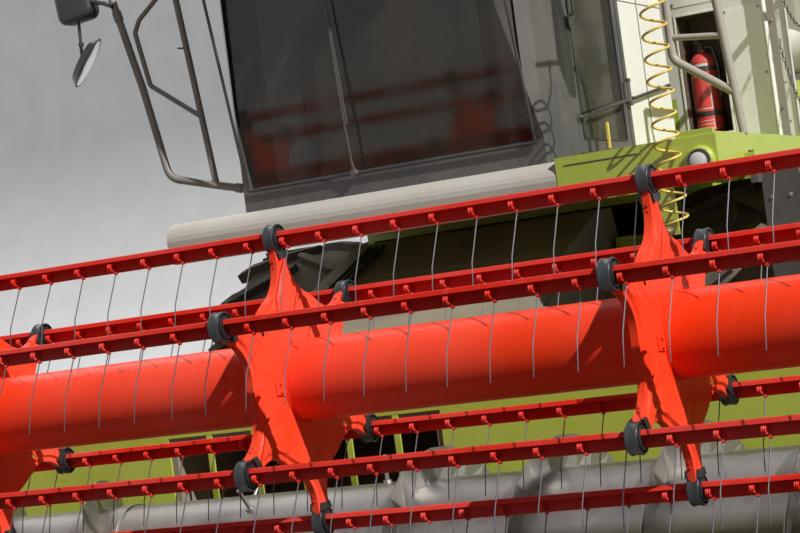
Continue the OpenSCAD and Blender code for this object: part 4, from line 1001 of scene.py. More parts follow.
def make_rails():
    hoop = bent([[1740, -1430, DECK + 2], [1660, -1430, 3020], [1448, -1430, 3020], [1446, -1430, 2381],
                 [1722, -1430, 2183]], 70, 9)
    top = bent([[1735, -748, 2958], [1735, -748, 2980], [1735, 120, 2980], [1735, 120, DECK + 0.3]], 21, 6)
    arm = bent([[1600, -1430, 3020], [1590, -1640, 3075], [1575, -1930, 3075]], 60, 6)
    shells = [bar_along(hoop, 40, 20), bar_along([[1450, -1430, 2484], [1700, -1430, 2452]], 30, 16),
              bar_along(top, 38, 20), bar_along(arm, 20, 14)]
    post = [[1716, -770], [1756, -770], [1756, -764], [1722, -764], [1722, -728], [1716, -728]]
    shells.append(prism(post, DECK + 0.3, 2975, "z"))
    for x, y in ((1740, -1430), (1735, 120), (1735, -750)):
        shells.append(prism(rounded((x - 34, min(x + 34, 1750)), (y - 34, y + 34), 8),
                            DECK + 0.3, DECK + 7, "z"))
    piece("smooth_rails", shells, rail_paint, smooth=40, stands_for=("railings",))
    heads = bolts([[x + dx, y + dy, DECK + 7] for x, y in ((1735, 120), (1735, -750)) for dx in (-24, 8)
                   for dy in (-24, 24)], [0, 0, 1], 10, 6)
    heads += bolts([[1756, -752, z] for z in (2060, 2250, 2460, 2700, 2900)], [1, 0, 0], 11, 7)
    heads += bolts([[1735, -770, z] for z in (2130, 2560, 2820)], [0, -1, 0], 11, 7)
    piece("rail_bolts", heads, worn_steel, smooth=30)
    links = chain([1738, -728, 2486], [1735, 100, 2520], 2105)
    links += chain([1738, -728, 2945], [1735, 101, 2940], 2560)
    piece("rail_chains", links, chain_steel, smooth=60)
    tubes = [bar_along(bent([[-868, -1560, 2110], [-1037, -1600, 2156], [-1310, -1600, 2230],
                             [-1406, -1600, 2717], [-1529, -1600, 3211]], 90, 8), 40, 20),
             bar_along(bent([[-1030, -1600, 2152], [-1155, -1600, 3330], [-1080, -1600, 3500],
                             [-925.3, -1600, 3500]], 50, 8), 34, 18),
             bar_along(bent([[-1146, -1600, 3245], [-1376, -1600, 3076], [-1412, -1600, 3014],
                             [-1357, -1600, 2727], [-1074, -1600, 2519]], 40, 7), 26, 14),
             bar_along([[-1109, -1600, 2880], [-1135, -1640, 2882]], 10, 8)]
    clamps = [bar_along([p, q], 50, 20) for p, q in (([-1500, -1600, 3094], [-1512, -1600, 3143]),
                                                     ([-900, -1567, 2119], [-930, -1574, 2127]))]
    piece("mirror_tubes", tubes + clamps, grey_tube, smooth=40)


def make_mirrors():
    shells, glass = [], []
    for x, y, z, tilt in ((-1760, -1620, 3330, -6), (1720, -1700, 3280, 6)):
        m = turn("Y", tilt, (x, y, z))
        def box(inset, y0, y1):
            return prism(rounded((x - 110 + inset, x + 110 - inset), (z - 200 + inset, z + 200 - inset),
                                 46 - inset / 2), y0, y1, "y")
        rings = [np.insert(rounded((x - 110 + g, x + 110 - g), (z - 200 + g, z + 200 - g), 46 - g / 2), 1,
                           y + h, 1)
                 for g, h in ((26, -45), (8, -38), (0, -22), (0, 44), (5, 44.9))]
        shells.append(moved(skin(rings), m))
        glass.append(moved(box(13, y + 44.9, y + 47), m))
        boss = [np.insert(rounded((x - wide, x + wide), (z - tall, z + tall), r), 1, y - off, 1)
                for wide, tall, r, off in ((60, 9, 8, 46.5), (58, 7, 6, 40))]
        shells.append(moved(skin(boss), m))
    shells += [bar_along(bent([[-1509, -1632.4, 3170], [-1560, -1632.4, 3196], [-1700, -1632.4, 3240]], 20,
                              5), 24, 14),
               bar_along([[-1745, -1620, 3150], [-1752, -1620, 2930]], 18, 12),
               bar_along([[-1747, -1620, 3020], [-1747.6, -1620, 3002]], 30, 14),
               bar_along(bent([[927, -1700, 3490], [1300, -1700, 3452], [1700, -1700, 3400]], 40, 5), 26, 14)]
    disc = lathe([[-18, 0], [-18, 116], [-12, 122], [10, 139], [15, 145], [18, 143], [18, 0]], (0, 0, 0),
                 "z", 48)
    face = lathe([[17.5, 0], [17.5, 132], [20, 128], [27, 70], [29, 0]], (0, 0, 0), "z", 40)
    m = Matrix.Translation((-1732, -1620, 2917)) @ Matrix.Rotation(math.radians(29), 4, "Z")
    m = np.array(m @ Matrix.Rotation(math.radians(124), 4, "Y"))
    shells.append(moved(disc, m))
    glass.append(moved(face, m))
    piece("mirror_housings", shells, black_plastic, smooth=45, stands_for=("mirrors",))
    piece("mirror_faces", glass, mirror_glass, smooth=40)


make_rails()
make_mirrors()

# The recess in the wall and its extinguisher

def make_recess():
    x, z = (896.6, 1142.4), (2130.6, 2788.4)
    front, back, t = 200, 399.4, 3
    lining = [block(x, (back - t, back), z)]
    lining += [block(wide, (front, back), z) for wide in ((x[0], x[0] + t), (x[1] - t, x[1]))]
    lining += [block(x, (front, back), tall) for tall in ((z[0], z[0] + t), (z[1] - t, z[1]))]
    # The lining's dark brown is painted shade inside the recess.
    piece("recess_lining", lining, recess_painted_shade, edge=0.5)
    c = (985, 300)
    foot, top = 2137, 2551
    body = lathe([[foot, 0], [foot, 58], [foot + 6, 70], [foot + 14, 72], [foot + 16, 78], [foot + 24, 78],
                  [foot + 28, 75.5], [top - 30, 75.5], [top - 18, 74],
                  [top, 66], [top + 22, 48], [top + 34, 28], [top + 40, 24], [top + 46, 24], [top + 46, 0]],
                 (*c, 0), "z", 48)
    piece("extinguisher_bottle", [body], extinguisher_red, smooth=40, stands_for=("extinguisher",))
    straps = [collar(h, h + 26, 75, 77.6, (*c, 0), "z", 48) for h in (2232, 2478)]
    valve = [lathe([[top + 40, 0], [top + 40, 20], [top + 66, 20], [top + 70, 16], [top + 82, 16],
                    [top + 82, 0]], (*c, 0), "z", 24),
             block((c[0] - 12, c[0] + 12), (c[1] - 64, c[1] + 20), (top + 82, top + 88)),
             block((c[0] - 11, c[0] + 11), (c[1] - 70, c[1] + 8), (top + 98, top + 103)),
             bar_along([[c[0], c[1] + 6, top + 84], [c[0], c[1] + 6, top + 101]], 14, 8),
             lathe([[c[1] - 30, 0], [c[1] - 30, 15], [c[1] - 20, 15], [c[1] - 20, 0]],
                   (c[0], 0, top + 58), "y", 24),
             bar_along(bent([[c[0] + 18, c[1], top + 60], [c[0] + 60, c[1], top + 62],
                             [c[0] + 90, c[1] - 18, top - 60], [c[0] + 86, c[1] - 26, foot + 190]], 30, 6),
                       15, 12)]
    bracket = [block((c[0] + s * 60 - 12, c[0] + s * 60 + 12), (c[1] + 50, 396), (h, h + 26))
               for s in (-1, 1) for h in (2232, 2478)]
    piece("extinguisher_straps", straps + valve + bracket, black_plastic, smooth=35)
    a = np.radians(np.linspace(-62, 38, 15))
    def band(z0, z1, across=a):
        ring = lambda r, q: np.stack([c[0] + r * np.sin(q), c[1] - r * np.cos(q)], -1)
        return prism(np.concatenate([ring(76.4, across), ring(75, across[::-1])]), z0, z1, "z")
    plates = [band(2270, 2276), band(2452, 2458), band(2505, 2520), band(2186, 2190), band(2205, 2209)]
    plates += [band(2270, 2458, edge) for edge in np.radians(np.array([[-62, -58], [34, 38]]))]
    piece("extinguisher_bands", plates, pale_plastic, smooth=40)


make_recess()

# Cab side, door and windscreen fittings

def screen_y(z):
    """The windscreen's outer face leans forwards by 300 over the cab's height."""
    return -1650 - 300 * (np.asarray(z, float) - DECK) / (3480 - DECK)


def make_cab_side():
    pale = [prism(rounded((-604, -352), (2006, 3424), 10), 884.5, 888, "x"),
            prism(rounded((-338, -8), (2006, 3424), 10), 884.5, 890, "x")]
    pale += [prism(rounded((-390, -8), (2006, 3424), 10), -890, -884.5, "x")]
    piece("cab_side_plates", pale, wall_grey, edge=1.2)
    seams = [block((888, 889), (-604, -352), (2826, 2831)), block((890, 891), (-338, -8), (2826, 2831))]
    bar = [[885.5, -590, 2320], [912, -585, 2321], [912, -70, 2405], [885.5, -62, 2406]]
    door_bar = [[892, -1322, 2201], [906, -1316, 2202], [906, -720, 2299], [892, -712, 2300]]
    piece("cab_side_bar", [bar_along(bent(bar, 9, 4), 17, 12)] + seams, black_plastic, smooth=40)
    grip = bent([[888, -1286, 2700], [922, -1286, 2710], [922, -1286, 2880], [888, -1286, 2890]], 16, 5)
    lever = [prism([[-993, 2056], [-979, 2056], [-975, 2186], [-989, 2186]], 889, 903, "x")]
    fittings = [bar_along(bent(door_bar, 8, 4), 17, 12), bar_along(grip, 15, 12),
                prism(rounded((-1304, -1268), (2640, 2700), 8), 884, 899, "x"),
                block((884, 888.6), (-1262, -708), (DECK + 113, DECK + 119)),
                block((884, 888.6), (-1266, -1258), (DECK + 115, 3322)),
                block((884, 888.6), (-712, -704), (DECK + 115, 3322))]
    piece("door_fittings", fittings, black_plastic, "door", edge=0.8, smooth=40)
    piece("door_lever", lever, hose_yellow, "door", edge=1.5)
    z = np.array([2090, 2140, 2300, 2500, 2700, 2790])
    out = np.array([4, 20, 26, 24, 18, 12])
    arm = np.stack([np.interp(z, [2090, 2790], [-176, -136]), screen_y(z) - out, z], -1)
    blade_z = np.linspace(2330, 2960, 9)
    blade = np.stack([np.interp(blade_z, [2330, 2960], [-158, -122]), screen_y(blade_z) - 5, blade_z], -1)
    wiper = [bar_along(arm, [22, 14, 11, 10, 9, 8], 8), bar_along(blade, 9, 6),
             bar_along(blade + [0, -5, 0], 6, 6),
             lathe([[-30, 0], [-30, 15], [2, 18], [2, 0]], (-176, float(screen_y(2090)), 2090), "y", 20)]
    piece("screen_wiper", wiper, wiper_grey, smooth=40)
    ends = np.array([2085, 3398])
    seal = [bar_along(np.stack([[x, x], screen_y(ends) + 3, ends], -1), 16, 8) for x in (-803, 803)]
    for zz in (2089, 3396):
        y = float(screen_y(zz)) + 3
        seal.append(bar_along([[-803, y, zz], [803, y, zz]], 16, 8))
    seal += [bar_along([[-886, -1330, zz], [-886, -400, zz]], 12, 8) for zz in (DECK + 160, 3370)]
    piece("screen_seals", seal, black_plastic, smooth=50)


make_cab_side()


def make_cab_inside():
    """A padded seat and back as squashed superellipsoids, a wheel with spokes and a console with levers."""
    def pad(x, y, z, power=0.38, n=28, crown=0.0, channels=0):
        u = np.linspace(-np.pi / 2, np.pi / 2, 19)[1:-1][:, None]
        v = (np.arange(n * 2) * np.pi / n)[None, :]
        sp = lambda t, e: np.sign(t) * abs(t) ** e
        px = sp(np.cos(u), 0.5) * sp(np.cos(v), power)
        py = sp(np.cos(u), 0.5) * sp(np.sin(v), power)
        pz = sp(np.sin(u), 0.6) + 0 * v
        groove = 1 - 0.05 * channels * (np.exp(-((px - 0.45) / 0.05) ** 2) +
                                        np.exp(-((px + 0.45) / 0.05) ** 2)) * (pz > 0.2)
        pz = pz * groove * (1 + crown * (1 - px ** 2) * (1 - py ** 2))
        rings = np.stack([px * (x[1] - x[0]) / 2 + sum(x) / 2, py * (y[1] - y[0]) / 2 + sum(y) / 2,
                          pz * (z[1] - z[0]) / 2 + sum(z) / 2], -1)
        return skin(rings)
    cushion = pad((-258, 258), (-798, -306), (2446, 2556), channels=2, crown=0.06)
    back = moved(pad((-238, 238), (-300, 300), (-58, 56), channels=2, crown=0.06), turn("X", 90))
    back = shifted(back, (0, -262, 2860))
    seat = piece("seat_pads", [cushion, back], seat_cloth, smooth=180, stands_for=("operator_seat",))
    soft = seat.modifiers.new("soft", "SUBSURF")
    soft.levels = soft.render_levels = 1
    shell = [block((-190, 190), (-735, -345), (2006, 2060)), block((-150, 150), (-700, -380), (2062, 2300)),
             block((-230, 230), (-780, -330), (2400, 2440)),
             prism(rounded((-215, 215), (2560, 3140), 60), -207, -200, "y"),
             block((-320, -262), (-700, -360), (2620, 2650)), block((262, 300), (-700, -360), (2620, 2650))]
    for k in range(10):
        fold = 4 * (k % 2)
        shell.append(prism(rounded((-190, 190), (2062 + 34 * k, 2090 + 34 * k), 6),
                           -720 + fold, -360 - fold, "y"))
    piece("seat_frame", shell, black_plastic, edge=3)
    m = np.array(Matrix.Translation((0, -1065, 2660)) @ Matrix.Rotation(math.radians(-20), 4, "X"))
    a = np.arange(64) * np.pi / 32
    wheel = [bar_along(np.stack([190 * np.cos(a), 190 * np.sin(a), 0 * a], -1), 28, 12, True),
             lathe([[-22, 0], [-22, 48], [8, 44], [16, 26], [16, 0]], (0, 0, 0), "z", 32)]
    wheel += [bar_along([[40 * math.cos(t), 40 * math.sin(t), -6],
                         [182 * math.cos(t), 182 * math.sin(t), 0]], [30, 20], 10)
              for t in np.radians([-90, 30, 150])]
    column = [bar_along([[0, -1250, DECK + 24], [0, -1170, 2330], [0, -1073, 2645]], [96, 84, 62], 20),
              block((-70, 70), (-1310, -1180), (DECK + 20.3, DECK + 50)),
              block((300, 460), (-900, -350), (2500, 2596)),
              block((340, 420), (-700, -500), (DECK + 20.3, 2502)),
              prism(rounded((310, 450), (2600, 2760), 14), -890, -872, "y")]
    levers = ((340, -760), (380, -700), (420, -760))
    knobs = [bar_along([[x, y, 2596], [x, y - 12, 2660]], [10, 8], 8) for x, y in levers]
    knobs += [bar_along([[x, y - 12, 2655], [x, y - 17, 2685]], [26, 22], 12) for x, y in levers]
    piece("wheel_and_console", [moved(s, m) for s in wheel] + column + knobs, black_plastic, edge=1.5,
          smooth=40, stands_for=("cab_controls",))


make_cab_inside()

# Platform front, lamps

def make_platform_front():
    block_face = [prism([[1380, 1838], [1748, 1838], [1748, 1984], [1392, 1984]], -1851.6, -1846, "y"),
                  prism(rounded((1560, 1738), (DECK - 22, DECK + 26), 8), -1846, -1812, "y")]
    # A thin dark bar along the fold of the platform's front panel: painted shade in the crease.
    crease = [bar_along([[1010, -1850.6, 1946], [1372, -1850.6, 1946]], 6, 6)]
    rim = [bar_along(bent([[1745, -1838, DECK + 2], [1745, -1640, DECK + 2], [1745, 150, DECK + 2]], 10, 3),
                     9, 8)]
    housing = lathe([[-1851, 0], [-1851, 70], [-1872, 68], [-1880, 58], [-1880, 0]], (1668, 0, 1868), "y", 40)
    piece("platform_front", block_face + rim + [housing], lime_paint, edge=2)
    piece("platform_crease_shade", crease, dark_paint)
    grip = [prism(rounded((x - 9, x + 9), (y - 3, y + 3), 3, 2), DECK, DECK + 4, "z")
            for x in np.arange(1010, 1700, 46) for y in np.arange(-1780, 150, 46)]
    piece("platform_grip", grip, step_coating, smooth=30)
    lens, ring = [], []
    for x in (-710, -480, -250, 250, 480, 710):
        ring.append(lathe([[-2150.5, 0], [-2150.5, 65], [-2186, 64], [-2190, 60], [-2190, 54], [-2176, 50],
                           [-2176, 0]], (x, 0, ROOF_LAMP_Z), "y", 36))
        lens.append(lathe([[-2177, 0], [-2177, 53], [-2182, 48], [-2186, 30], [-2187.5, 0]],
                          (x, 0, ROOF_LAMP_Z), "y", 32))
    ring.append(lathe([[-1880, 0], [-1880, 54], [-1890, 53], [-1890, 46], [-1884, 44], [-1884, 0]],
                      (1668, 0, 1868), "y", 36))
    lens.append(lathe([[-1884.5, 0], [-1884.5, 44], [-1888, 38], [-1889.5, 0]], (1668, 0, 1868), "y", 32))
    piece("lamp_rings", ring, black_plastic, smooth=40, stands_for=("lamps",))
    piece("lamp_glasses", lens, lamp_lens, smooth=50)
    marker = prism(rounded((1700, 1742), (1772, 1822), 6), -1864, -1851, "y")
    piece("marker_lamps", [marker], orange_lens, edge=3)


make_platform_front()

# Wheels

def make_wheel(end, inner, y, r, rim_r, w, dish, hub_r, nuts):
    """Hub, wheel nuts, rim beads and moulded sidewall rings; distances along the axle count from the tyre's
    inner face."""
    def ring(profile, n=72):
        return lathe([[inner + a, b] for a, b in profile], (0, y, r), "x", n)
    def around(count, radius, along, start=0.0):
        a = np.arange(count) * 2 * np.pi / count + math.radians(start)
        return [[inner + along, y + radius * math.sin(t), r + radius * math.cos(t)] for t in a]
    flank = r - 48 - rim_r
    rings, ribs = [], []
    for share, proud in ((0.16, -9), (0.44, 2), (0.62, 1)):
        low = rim_r + share * flank
        rings.append(ring([[w - 3, low], [w + proud, low + 4], [w + proud, low + 13], [w - 3, low + 17],
                           [w - 8, low + 17], [w - 8, low]], 96))
    for t in np.arange(nuts * 3) * 2 * np.pi / (nuts * 3):
        rib = block((inner + w - 10, inner + w + 1.5), (-6, 6), (rim_r + 0.66 * flank, rim_r + 0.84 * flank))
        ribs.append(shifted(moved(rib, turn("X", math.degrees(t))), (0, y, r)))
    cap = ring([[dish + 21.8, 0], [dish + 21.8, hub_r - 34], [dish + 44, hub_r - 36],
                [dish + 58, hub_r - 48], [dish + 96, hub_r - 54], [dish + 108, hub_r - 66],
                [dish + 112, 34], [dish + 124, 30], [dish + 126, 0]])
    nuts_on = []
    for places, head, tall in ((around(nuts, hub_r - 17, dish + 21.8), 24, 20),
                               (around(8, hub_r - 60, dish + 96, 22.5), 15, 10),
                               (around(8, rim_r - 158, dish - 8.3, 22.5), 26, 18)):
        nuts_on += bolts(places, [1, 0, 0], head, tall)
    valve = [bar_along([p, [p[0] + 34, p[1], p[2]]], 12, 8) for p in around(1, rim_r - 100, dish + 4, 30)]
    bead = ring([[w * 0.9 - 1, rim_r - 21], [w * 0.9 + 5, rim_r - 16], [w * 0.9 + 5, rim_r - 6],
                 [w * 0.9 - 1, rim_r - 3], [w * 0.9 - 6, rim_r - 6], [w * 0.9 - 6, rim_r - 21]], 96)
    for side in ("left", "right"):
        body = f"{end}_wheel_{side}"
        piece(f"{body}_sidewall", on_side(side, rings + ribs), tyre_rubber, body)
        piece(f"{body}_hub", on_side(side, [cap, bead]), red_paint, body, smooth=35)
        piece(f"{body}_nuts", on_side(side, nuts_on + valve), worn_steel, body, smooth=30)


make_wheel("front", inner=955, y=0, r=925, rim_r=420, w=780, dish=420, hub_r=190, nuts=12)
make_wheel("rear", inner=1010, y=WHEELBASE, r=655, rim_r=320, w=480, dish=200, hub_r=110, nuts=10)

# Walls, panels and hoods

def make_wall():
    pale = []
    post = [[1404, 199.5], [1404, 151], [1410, 151], [1410, 193], [1450, 193], [1450, 199.5]]
    pale.append(prism(post, DECK + 26, 3586, "z"))
    pale += [prism(rounded((1160, 1384), (2040, 2784), 12), 196.5, 200, "y"),
             prism(rounded((872, 1384), (2842, 3580), 12), 196.5, 200, "y")]
    frame_z, frame_x = (2118, 2801), (884, 1155)
    pale += [block((frame_x[0], 896), (195, 200), frame_z), block((1143, frame_x[1]), (195, 200), frame_z),
             block((896, 1143), (195, 200), (frame_z[0], 2130)),
             block((896, 1143), (195, 200), (2789, frame_z[1]))]
    piece("wall_panels", pale, wall_grey, edge=1.5)
    heads = bolts([[1430, 193, z] for z in (2120, 2480, 2868, 3240, 3500)], [0, -1, 0], 15, 8)
    heads += bolts([[1404, 172, z] for z in (2300, 2660, 3040)], [-1, 0, 0], 13, 8)
    heads += bolts([[x, 196.5, z] for x in (1176, 1368) for z in (2056, 2410, 2768)] +
                   [[x, 196.5, z] for x in (888, 1128, 1368) for z in (2858, 3564)], [0, -1, 0], 12, 6)
    piece("wall_bolts", heads, worn_steel, smooth=30)


def make_sides():
    """Door seams, pressed beads, hinges, latches and louvres on the side panels; the same on both sides."""
    x = SIDE_X
    seam = [block((x, x + 1.2), (yy - 5, yy + 5), (1215 + (70 if yy > 2600 else 0), 2345))
            for yy in (1180, 2240)]
    seam += [block((x, x + 1.2), (265, 4415), (1925, 1931)), block((x, x + 1.2), (3300, 3308), (1931, 2345))]
    beads = [prism(np.array([[y0, 2060], [y1, 2060], [y1 - 8, 2068], [y1 - 8, 2082], [y1, 2090], [y0, 2090],
                             [y0 + 8, 2082], [y0 + 8, 2068]]), x, x + 9)
             for y0, y1 in ((330, 1130), (1240, 2180), (2300, 3240), (3370, 4350))]
    beads += [prism(rounded((y0, y1), (2180, 2300), 14), x, x + 6) for y0, y1 in ((330, 1130), (3370, 4350))]
    beads.append(prism(rounded((1260, 2160), (1300, 1860), 40), x, x + 8))
    beads += [block((x + 8, x + 14), (1290, 2150), (1750 - 70 * i, 1762 - 70 * i)) for i in range(6)]
    latch = [prism(rounded((yy - 50, yy + 50), (1975, 2025), 12), x, x + 10) for yy in (1040, 2140, 3180)]
    hinge = [bar_along([[x + 9, yy - 55, 2338], [x + 9, yy + 55, 2338]], 18, 12)
             for yy in (420, 1050, 1320, 2120, 2380, 3200, 3420, 4240)]
    pull = [bar_along(bent([[x + 9, yy - 40, 2000], [x + 30, yy - 34, 2000], [x + 30, yy + 34, 2000],
                            [x + 9, yy + 40, 2000]], 8, 3), 10, 10) for yy in (1040, 2140, 3180)]
    vents = [prism(rounded((2330 + 112 * k, 2412 + 112 * k), (2186, 2296), 10, 3), x - 1,
                   x + 1.6) for k in range(8)]
    piece("side_beads", both(beads), lime_paint, edge=2)
    piece("side_seams", both(seam + latch + hinge + pull + vents), black_plastic, edge=0.6, smooth=40)
    marker = prism(rounded((1055, 1165), (1480, 1512), 8, 3), x, x + 12)
    piece("side_markers", both([marker]), orange_lens, edge=3)


def make_tank():
    ribs = [block((TANK_X, TANK_X + 14), (yy - 22, yy + 22), (2380, 3560)) for yy in (1180, 1640, 2100)]
    ribs += [block((TANK_X, TANK_X + 8), (900, 2340), (zz - 14, zz + 14)) for zz in (2700, 3140)]
    glass = [prism(rounded((1220, 1600), (2760, 3080), 40), TANK_X, TANK_X + 4)]
    frame_on = [bar_along(np.insert(rounded((1215, 1605), (2755, 3085), 44), 0, TANK_X + 4, 1), 16, 8, True)]
    piece("tank_ribs", both(ribs), pale_paint, edge=2.5)
    piece("tank_window", both(glass), cab_glass_tint, edge=1)
    piece("tank_window_seal", both(frame_on), black_plastic, smooth=60)
    rib = [[30, 3820], [1300, 3624], [1300, 3632], [660, 3732], [30, 3826]]
    shells = [prism(rib, yy - 28, yy + 28, "y") for yy in (330, 850, 1400, 1950, 2300)]
    shells.append(block((1330, 1366), (230, 2370), (3604, 3612)))
    grip = [[1250, 215, 3628], [1250, 205, 3650], [1100, 205, 3673], [1100, 215, 3651]]
    shells.append(bar_along(bent(grip, 10, 3), 12, 10))
    for side in ("left", "right"):
        piece(f"tank_cover_{side}_ribs", on_side(side, shells), dark_paint,
              f"cover_{side}", edge=2, smooth=40)


def make_hoods():
    slats = []
    for i in range(8):
        z = 2480 + 90 * i
        slats.append(prism([[1262, z + 42], [1266, z + 46], [1298, z + 10], [1294, z + 6]], 2705, 4095, "y"))
    trims = [prism([[2404, 3396], [4296, 3249], [4296, 3258], [2404, 3405]], xx - 24, xx + 24)
             for xx in (-900, -300, 300, 900)]
    trims += [block((1300, 1308), (yy - 18, yy + 18), (2380, 3180 if yy > 3000 else 3330))
              for yy in (2450, 4180)]
    trims += [prism(rounded((-1140, 1140), (2420, 2660), 50), 4500, 4508, "y")]
    piece("engine_louvres", both(slats) + both(trims[4:6]) + trims[:4] + trims[6:], pale_paint, edge=1.2)
    grille = [block((-1080, 1080), (4508, 4513), (2446 + 26 * k, 2458 + 26 * k)) for k in range(8)]
    grille += [bar_along([[xx, 4480, 2372], [xx, 4512, 2372]], 12, 8) for xx in (-1180, 1180)]
    piece("engine_grille", grille, black_plastic, edge=0.8)
    inner = [block((-640 + 170 * k, -560 + 170 * k), (2690, 2700), (2380, 3150)) for k in range(8)]
    inner += [bar_along(bent([[-500, 3000, 3190], [-500, 3000, 3215], [400, 3300, 3215], [400, 3300, 3190]],
                             30, 4), 60, 14)]
    inner += [block((700, 712), (2760 + 90 * k, 2800 + 90 * k), (2500, 3100)) for k in range(11)]
    piece("engine_pipes", inner, worn_steel, edge=2, smooth=40)
    bands = []
    hood = [[5200 + 400 * math.sin(a), 1850 + 400 * math.cos(a)] for a in np.radians(np.linspace(0, 90, 13))]
    for xx in (-620, -210, 210, 620):
        line = np.array([[xx, yy, zz] for yy, zz in [[4510, 2352]] + hood + [[5555, 1310]]])
        bands.append(bar_along(line, 16, 8))
    piece("straw_hood_beads", bands, lime_paint, smooth=50)
    y_at = lambda z: 5600 - (1850 - z) * 50 / 600
    def rear_plate(wide, tall, r, y0, y1):
        plates = [prism(rounded((xx - wide, xx + wide), (1600 - tall, 1600 + tall), r), y0, y1, "y")
                  for xx in (-640, 640)]
        return [shifted(s, (0, y_at(1600), 0)) for s in plates]
    piece("rear_lamps", rear_plate(78, 28, 12, 0, 16), rear_red, edge=3)
    piece("rear_lamp_frames", rear_plate(90, 40, 16, -8, 10), black_plastic, edge=2)
    curtain = [block((xx + 1, xx + 117), (5540 - 3 * (k % 2), 5543 - 3 * (k % 2)), (1020, 1252))
               for k, xx in enumerate(range(-830, 800, 118))]
    piece("straw_curtain", curtain, black_plastic, edge=0.8)
    handles = [bar_along(bent([[xx, y_at(1750) - 1, 1790], [xx, y_at(1750) + 34, 1786],
                               [xx, y_at(1700) + 34, 1714], [xx, y_at(1700) - 1, 1710]], 10, 3), 14, 10)
               for xx in (-300, 300)]
    piece("straw_hood_handles", handles, black_plastic, smooth=40)


def make_tube_out():
    """Bands and bolts on the unloading tube, a cover on its spout and a lamp under it."""
    x, y0, z = 1592, 620, 3400
    def band(yy, r, wide):
        return collar(yy - wide, yy + wide, r - 4, r, (x, 0, z), "y")
    shells = [band(yy, 161, 14) for yy in (860, 2040, 3240, 4440)]
    shells += [band(yy, 154, 5) for yy in (1450, 2640, 3840, 5040)]
    riser = [collar(h - 10, h + 10, 166, 184, (x, y0, 0), "z") for h in (3036, 3230)]
    piece("unloading_bands", shells + riser, pale_paint, "unloading_tube", smooth=40)
    heads = [p for yy in (2040, 3240)
             for p in bolts([[x + 158 * math.sin(t), yy, z + 158 * math.cos(t)]
                             for t in np.arange(12) * np.pi / 6], [0, 1, 0], 12, 20)]
    piece("unloading_bolts", heads, worn_steel, "unloading_tube", smooth=30)
    spout = [[5460, 3561], [5803, 3551], [5948, 3340], [5890, 3139], [5650, 3219]]
    centre = np.mean(spout, axis=0)
    cover = prism(centre + (np.array(spout) - centre) * 1.004, x - 142, x + 142)
    piece("unloading_spout", [cover], black_plastic, "unloading_tube", edge=12, smooth=40)
    piece("unloading_lamp", [collar(5180, 5214, 0, 34, (x, 0, z - 172), "y", 24)], black_plastic,
          "unloading_tube", edge=2, smooth=40)


def make_ladder():
    shells, teeth = [], []
    for z in 500 + 290 * np.arange(5):
        shells.append(block((1788, 1972), (-1412, -808), (z + 34, z + 41)))
        for k in range(22):
            y = -1400 + 27 * k
            for x in (1800 + 40 * (k % 2), 1880 + 40 * (k % 2)):
                teeth.append(block((x, x + 30), (y, y + 10), (z + 41, z + 46)))
        shells += [block((1786, 1790), (-1400, -820), (z, z + 41))]
    rails = [bar_along(bent([[1965, y, 820], [1990, y, 860], [1990, y, 1740], [1965, y, 1780]], 30, 4), 24,
                       12) for y in (-1405, -815)]
    piece("ladder_treads", shells + rails, dark_paint, "ladder", edge=1.5, smooth=40)
    piece("ladder_grip", teeth, step_coating, "ladder")
    heads = bolts([[1830 + d, -1420, z + 20] for z in 500 + 290 * np.arange(5) for d in (0, 90)],
                  [0, -1, 0], 14, 7)
    piece("ladder_bolts", heads, worn_steel, "ladder", smooth=30)


make_wall()
make_sides()
make_tank()
make_hoods()
make_tube_out()
make_ladder()

# Header, feeder house and cylinders

AUGER = (-3150, 480)

def make_header():
    back, side = -2790, 3830
    ribs = []
    for x in np.arange(-3600, 3601, 240):
        ribs.append(prism([[back - 1, 640], [back - 9, 656], [back - 9, 1040], [back - 1, 1056]], x - 16,
                          x + 16))
    brackets = [prism([[-2800, 1080], [-2780, 1075], [-2690, 1120], [-2700, 1142]], x - 7, x + 7)
                for x in np.arange(-3500, 3501, 500)]
    stiff = []
    for y, z0, z1 in ((-3000, 200, 660), (-3500, 200, 740), (-4050, 140, 560)):
        stiff.append(block((side + 12, side + 22), (y - 20, y + 20), (z0, z1)))
    stiff += [prism(rounded((-3420, -3060), (330, 600), 60), side + 12, side + 18)]
    skids = [prism([[-4100, 74], [-3900, 30], [-3300, 30], [-3120, 92], [-3300, 80], [-3900, 78]], x - 60,
                   x + 60) for x in (700, 2100, 3300)]
    piece("header_ribs", ribs + both(stiff), lime_paint, "header", edge=2)
    piece("header_brackets", brackets + both(skids), dark_paint, "header", edge=1.5)
    heads = bolts([[x + 22, back - 0.5, 1100] for x in np.arange(-3720, 3721, 240)], [0, -1, 0], 16, 8)
    edge = [[side + 12.3, y, z] for y, z in ((-3700, 700), (-4200, 420), (-4300, 160), (-3800, 110),
                                             (-2760, 200), (-2760, 560))]
    heads += bolts(edge, [1, 0, 0], 18, 9) + bolts([[-p[0], p[1], p[2]] for p in edge], [-1, 0, 0], 18, 9)
    piece("header_bolts", heads, worn_steel, "header", smooth=30)


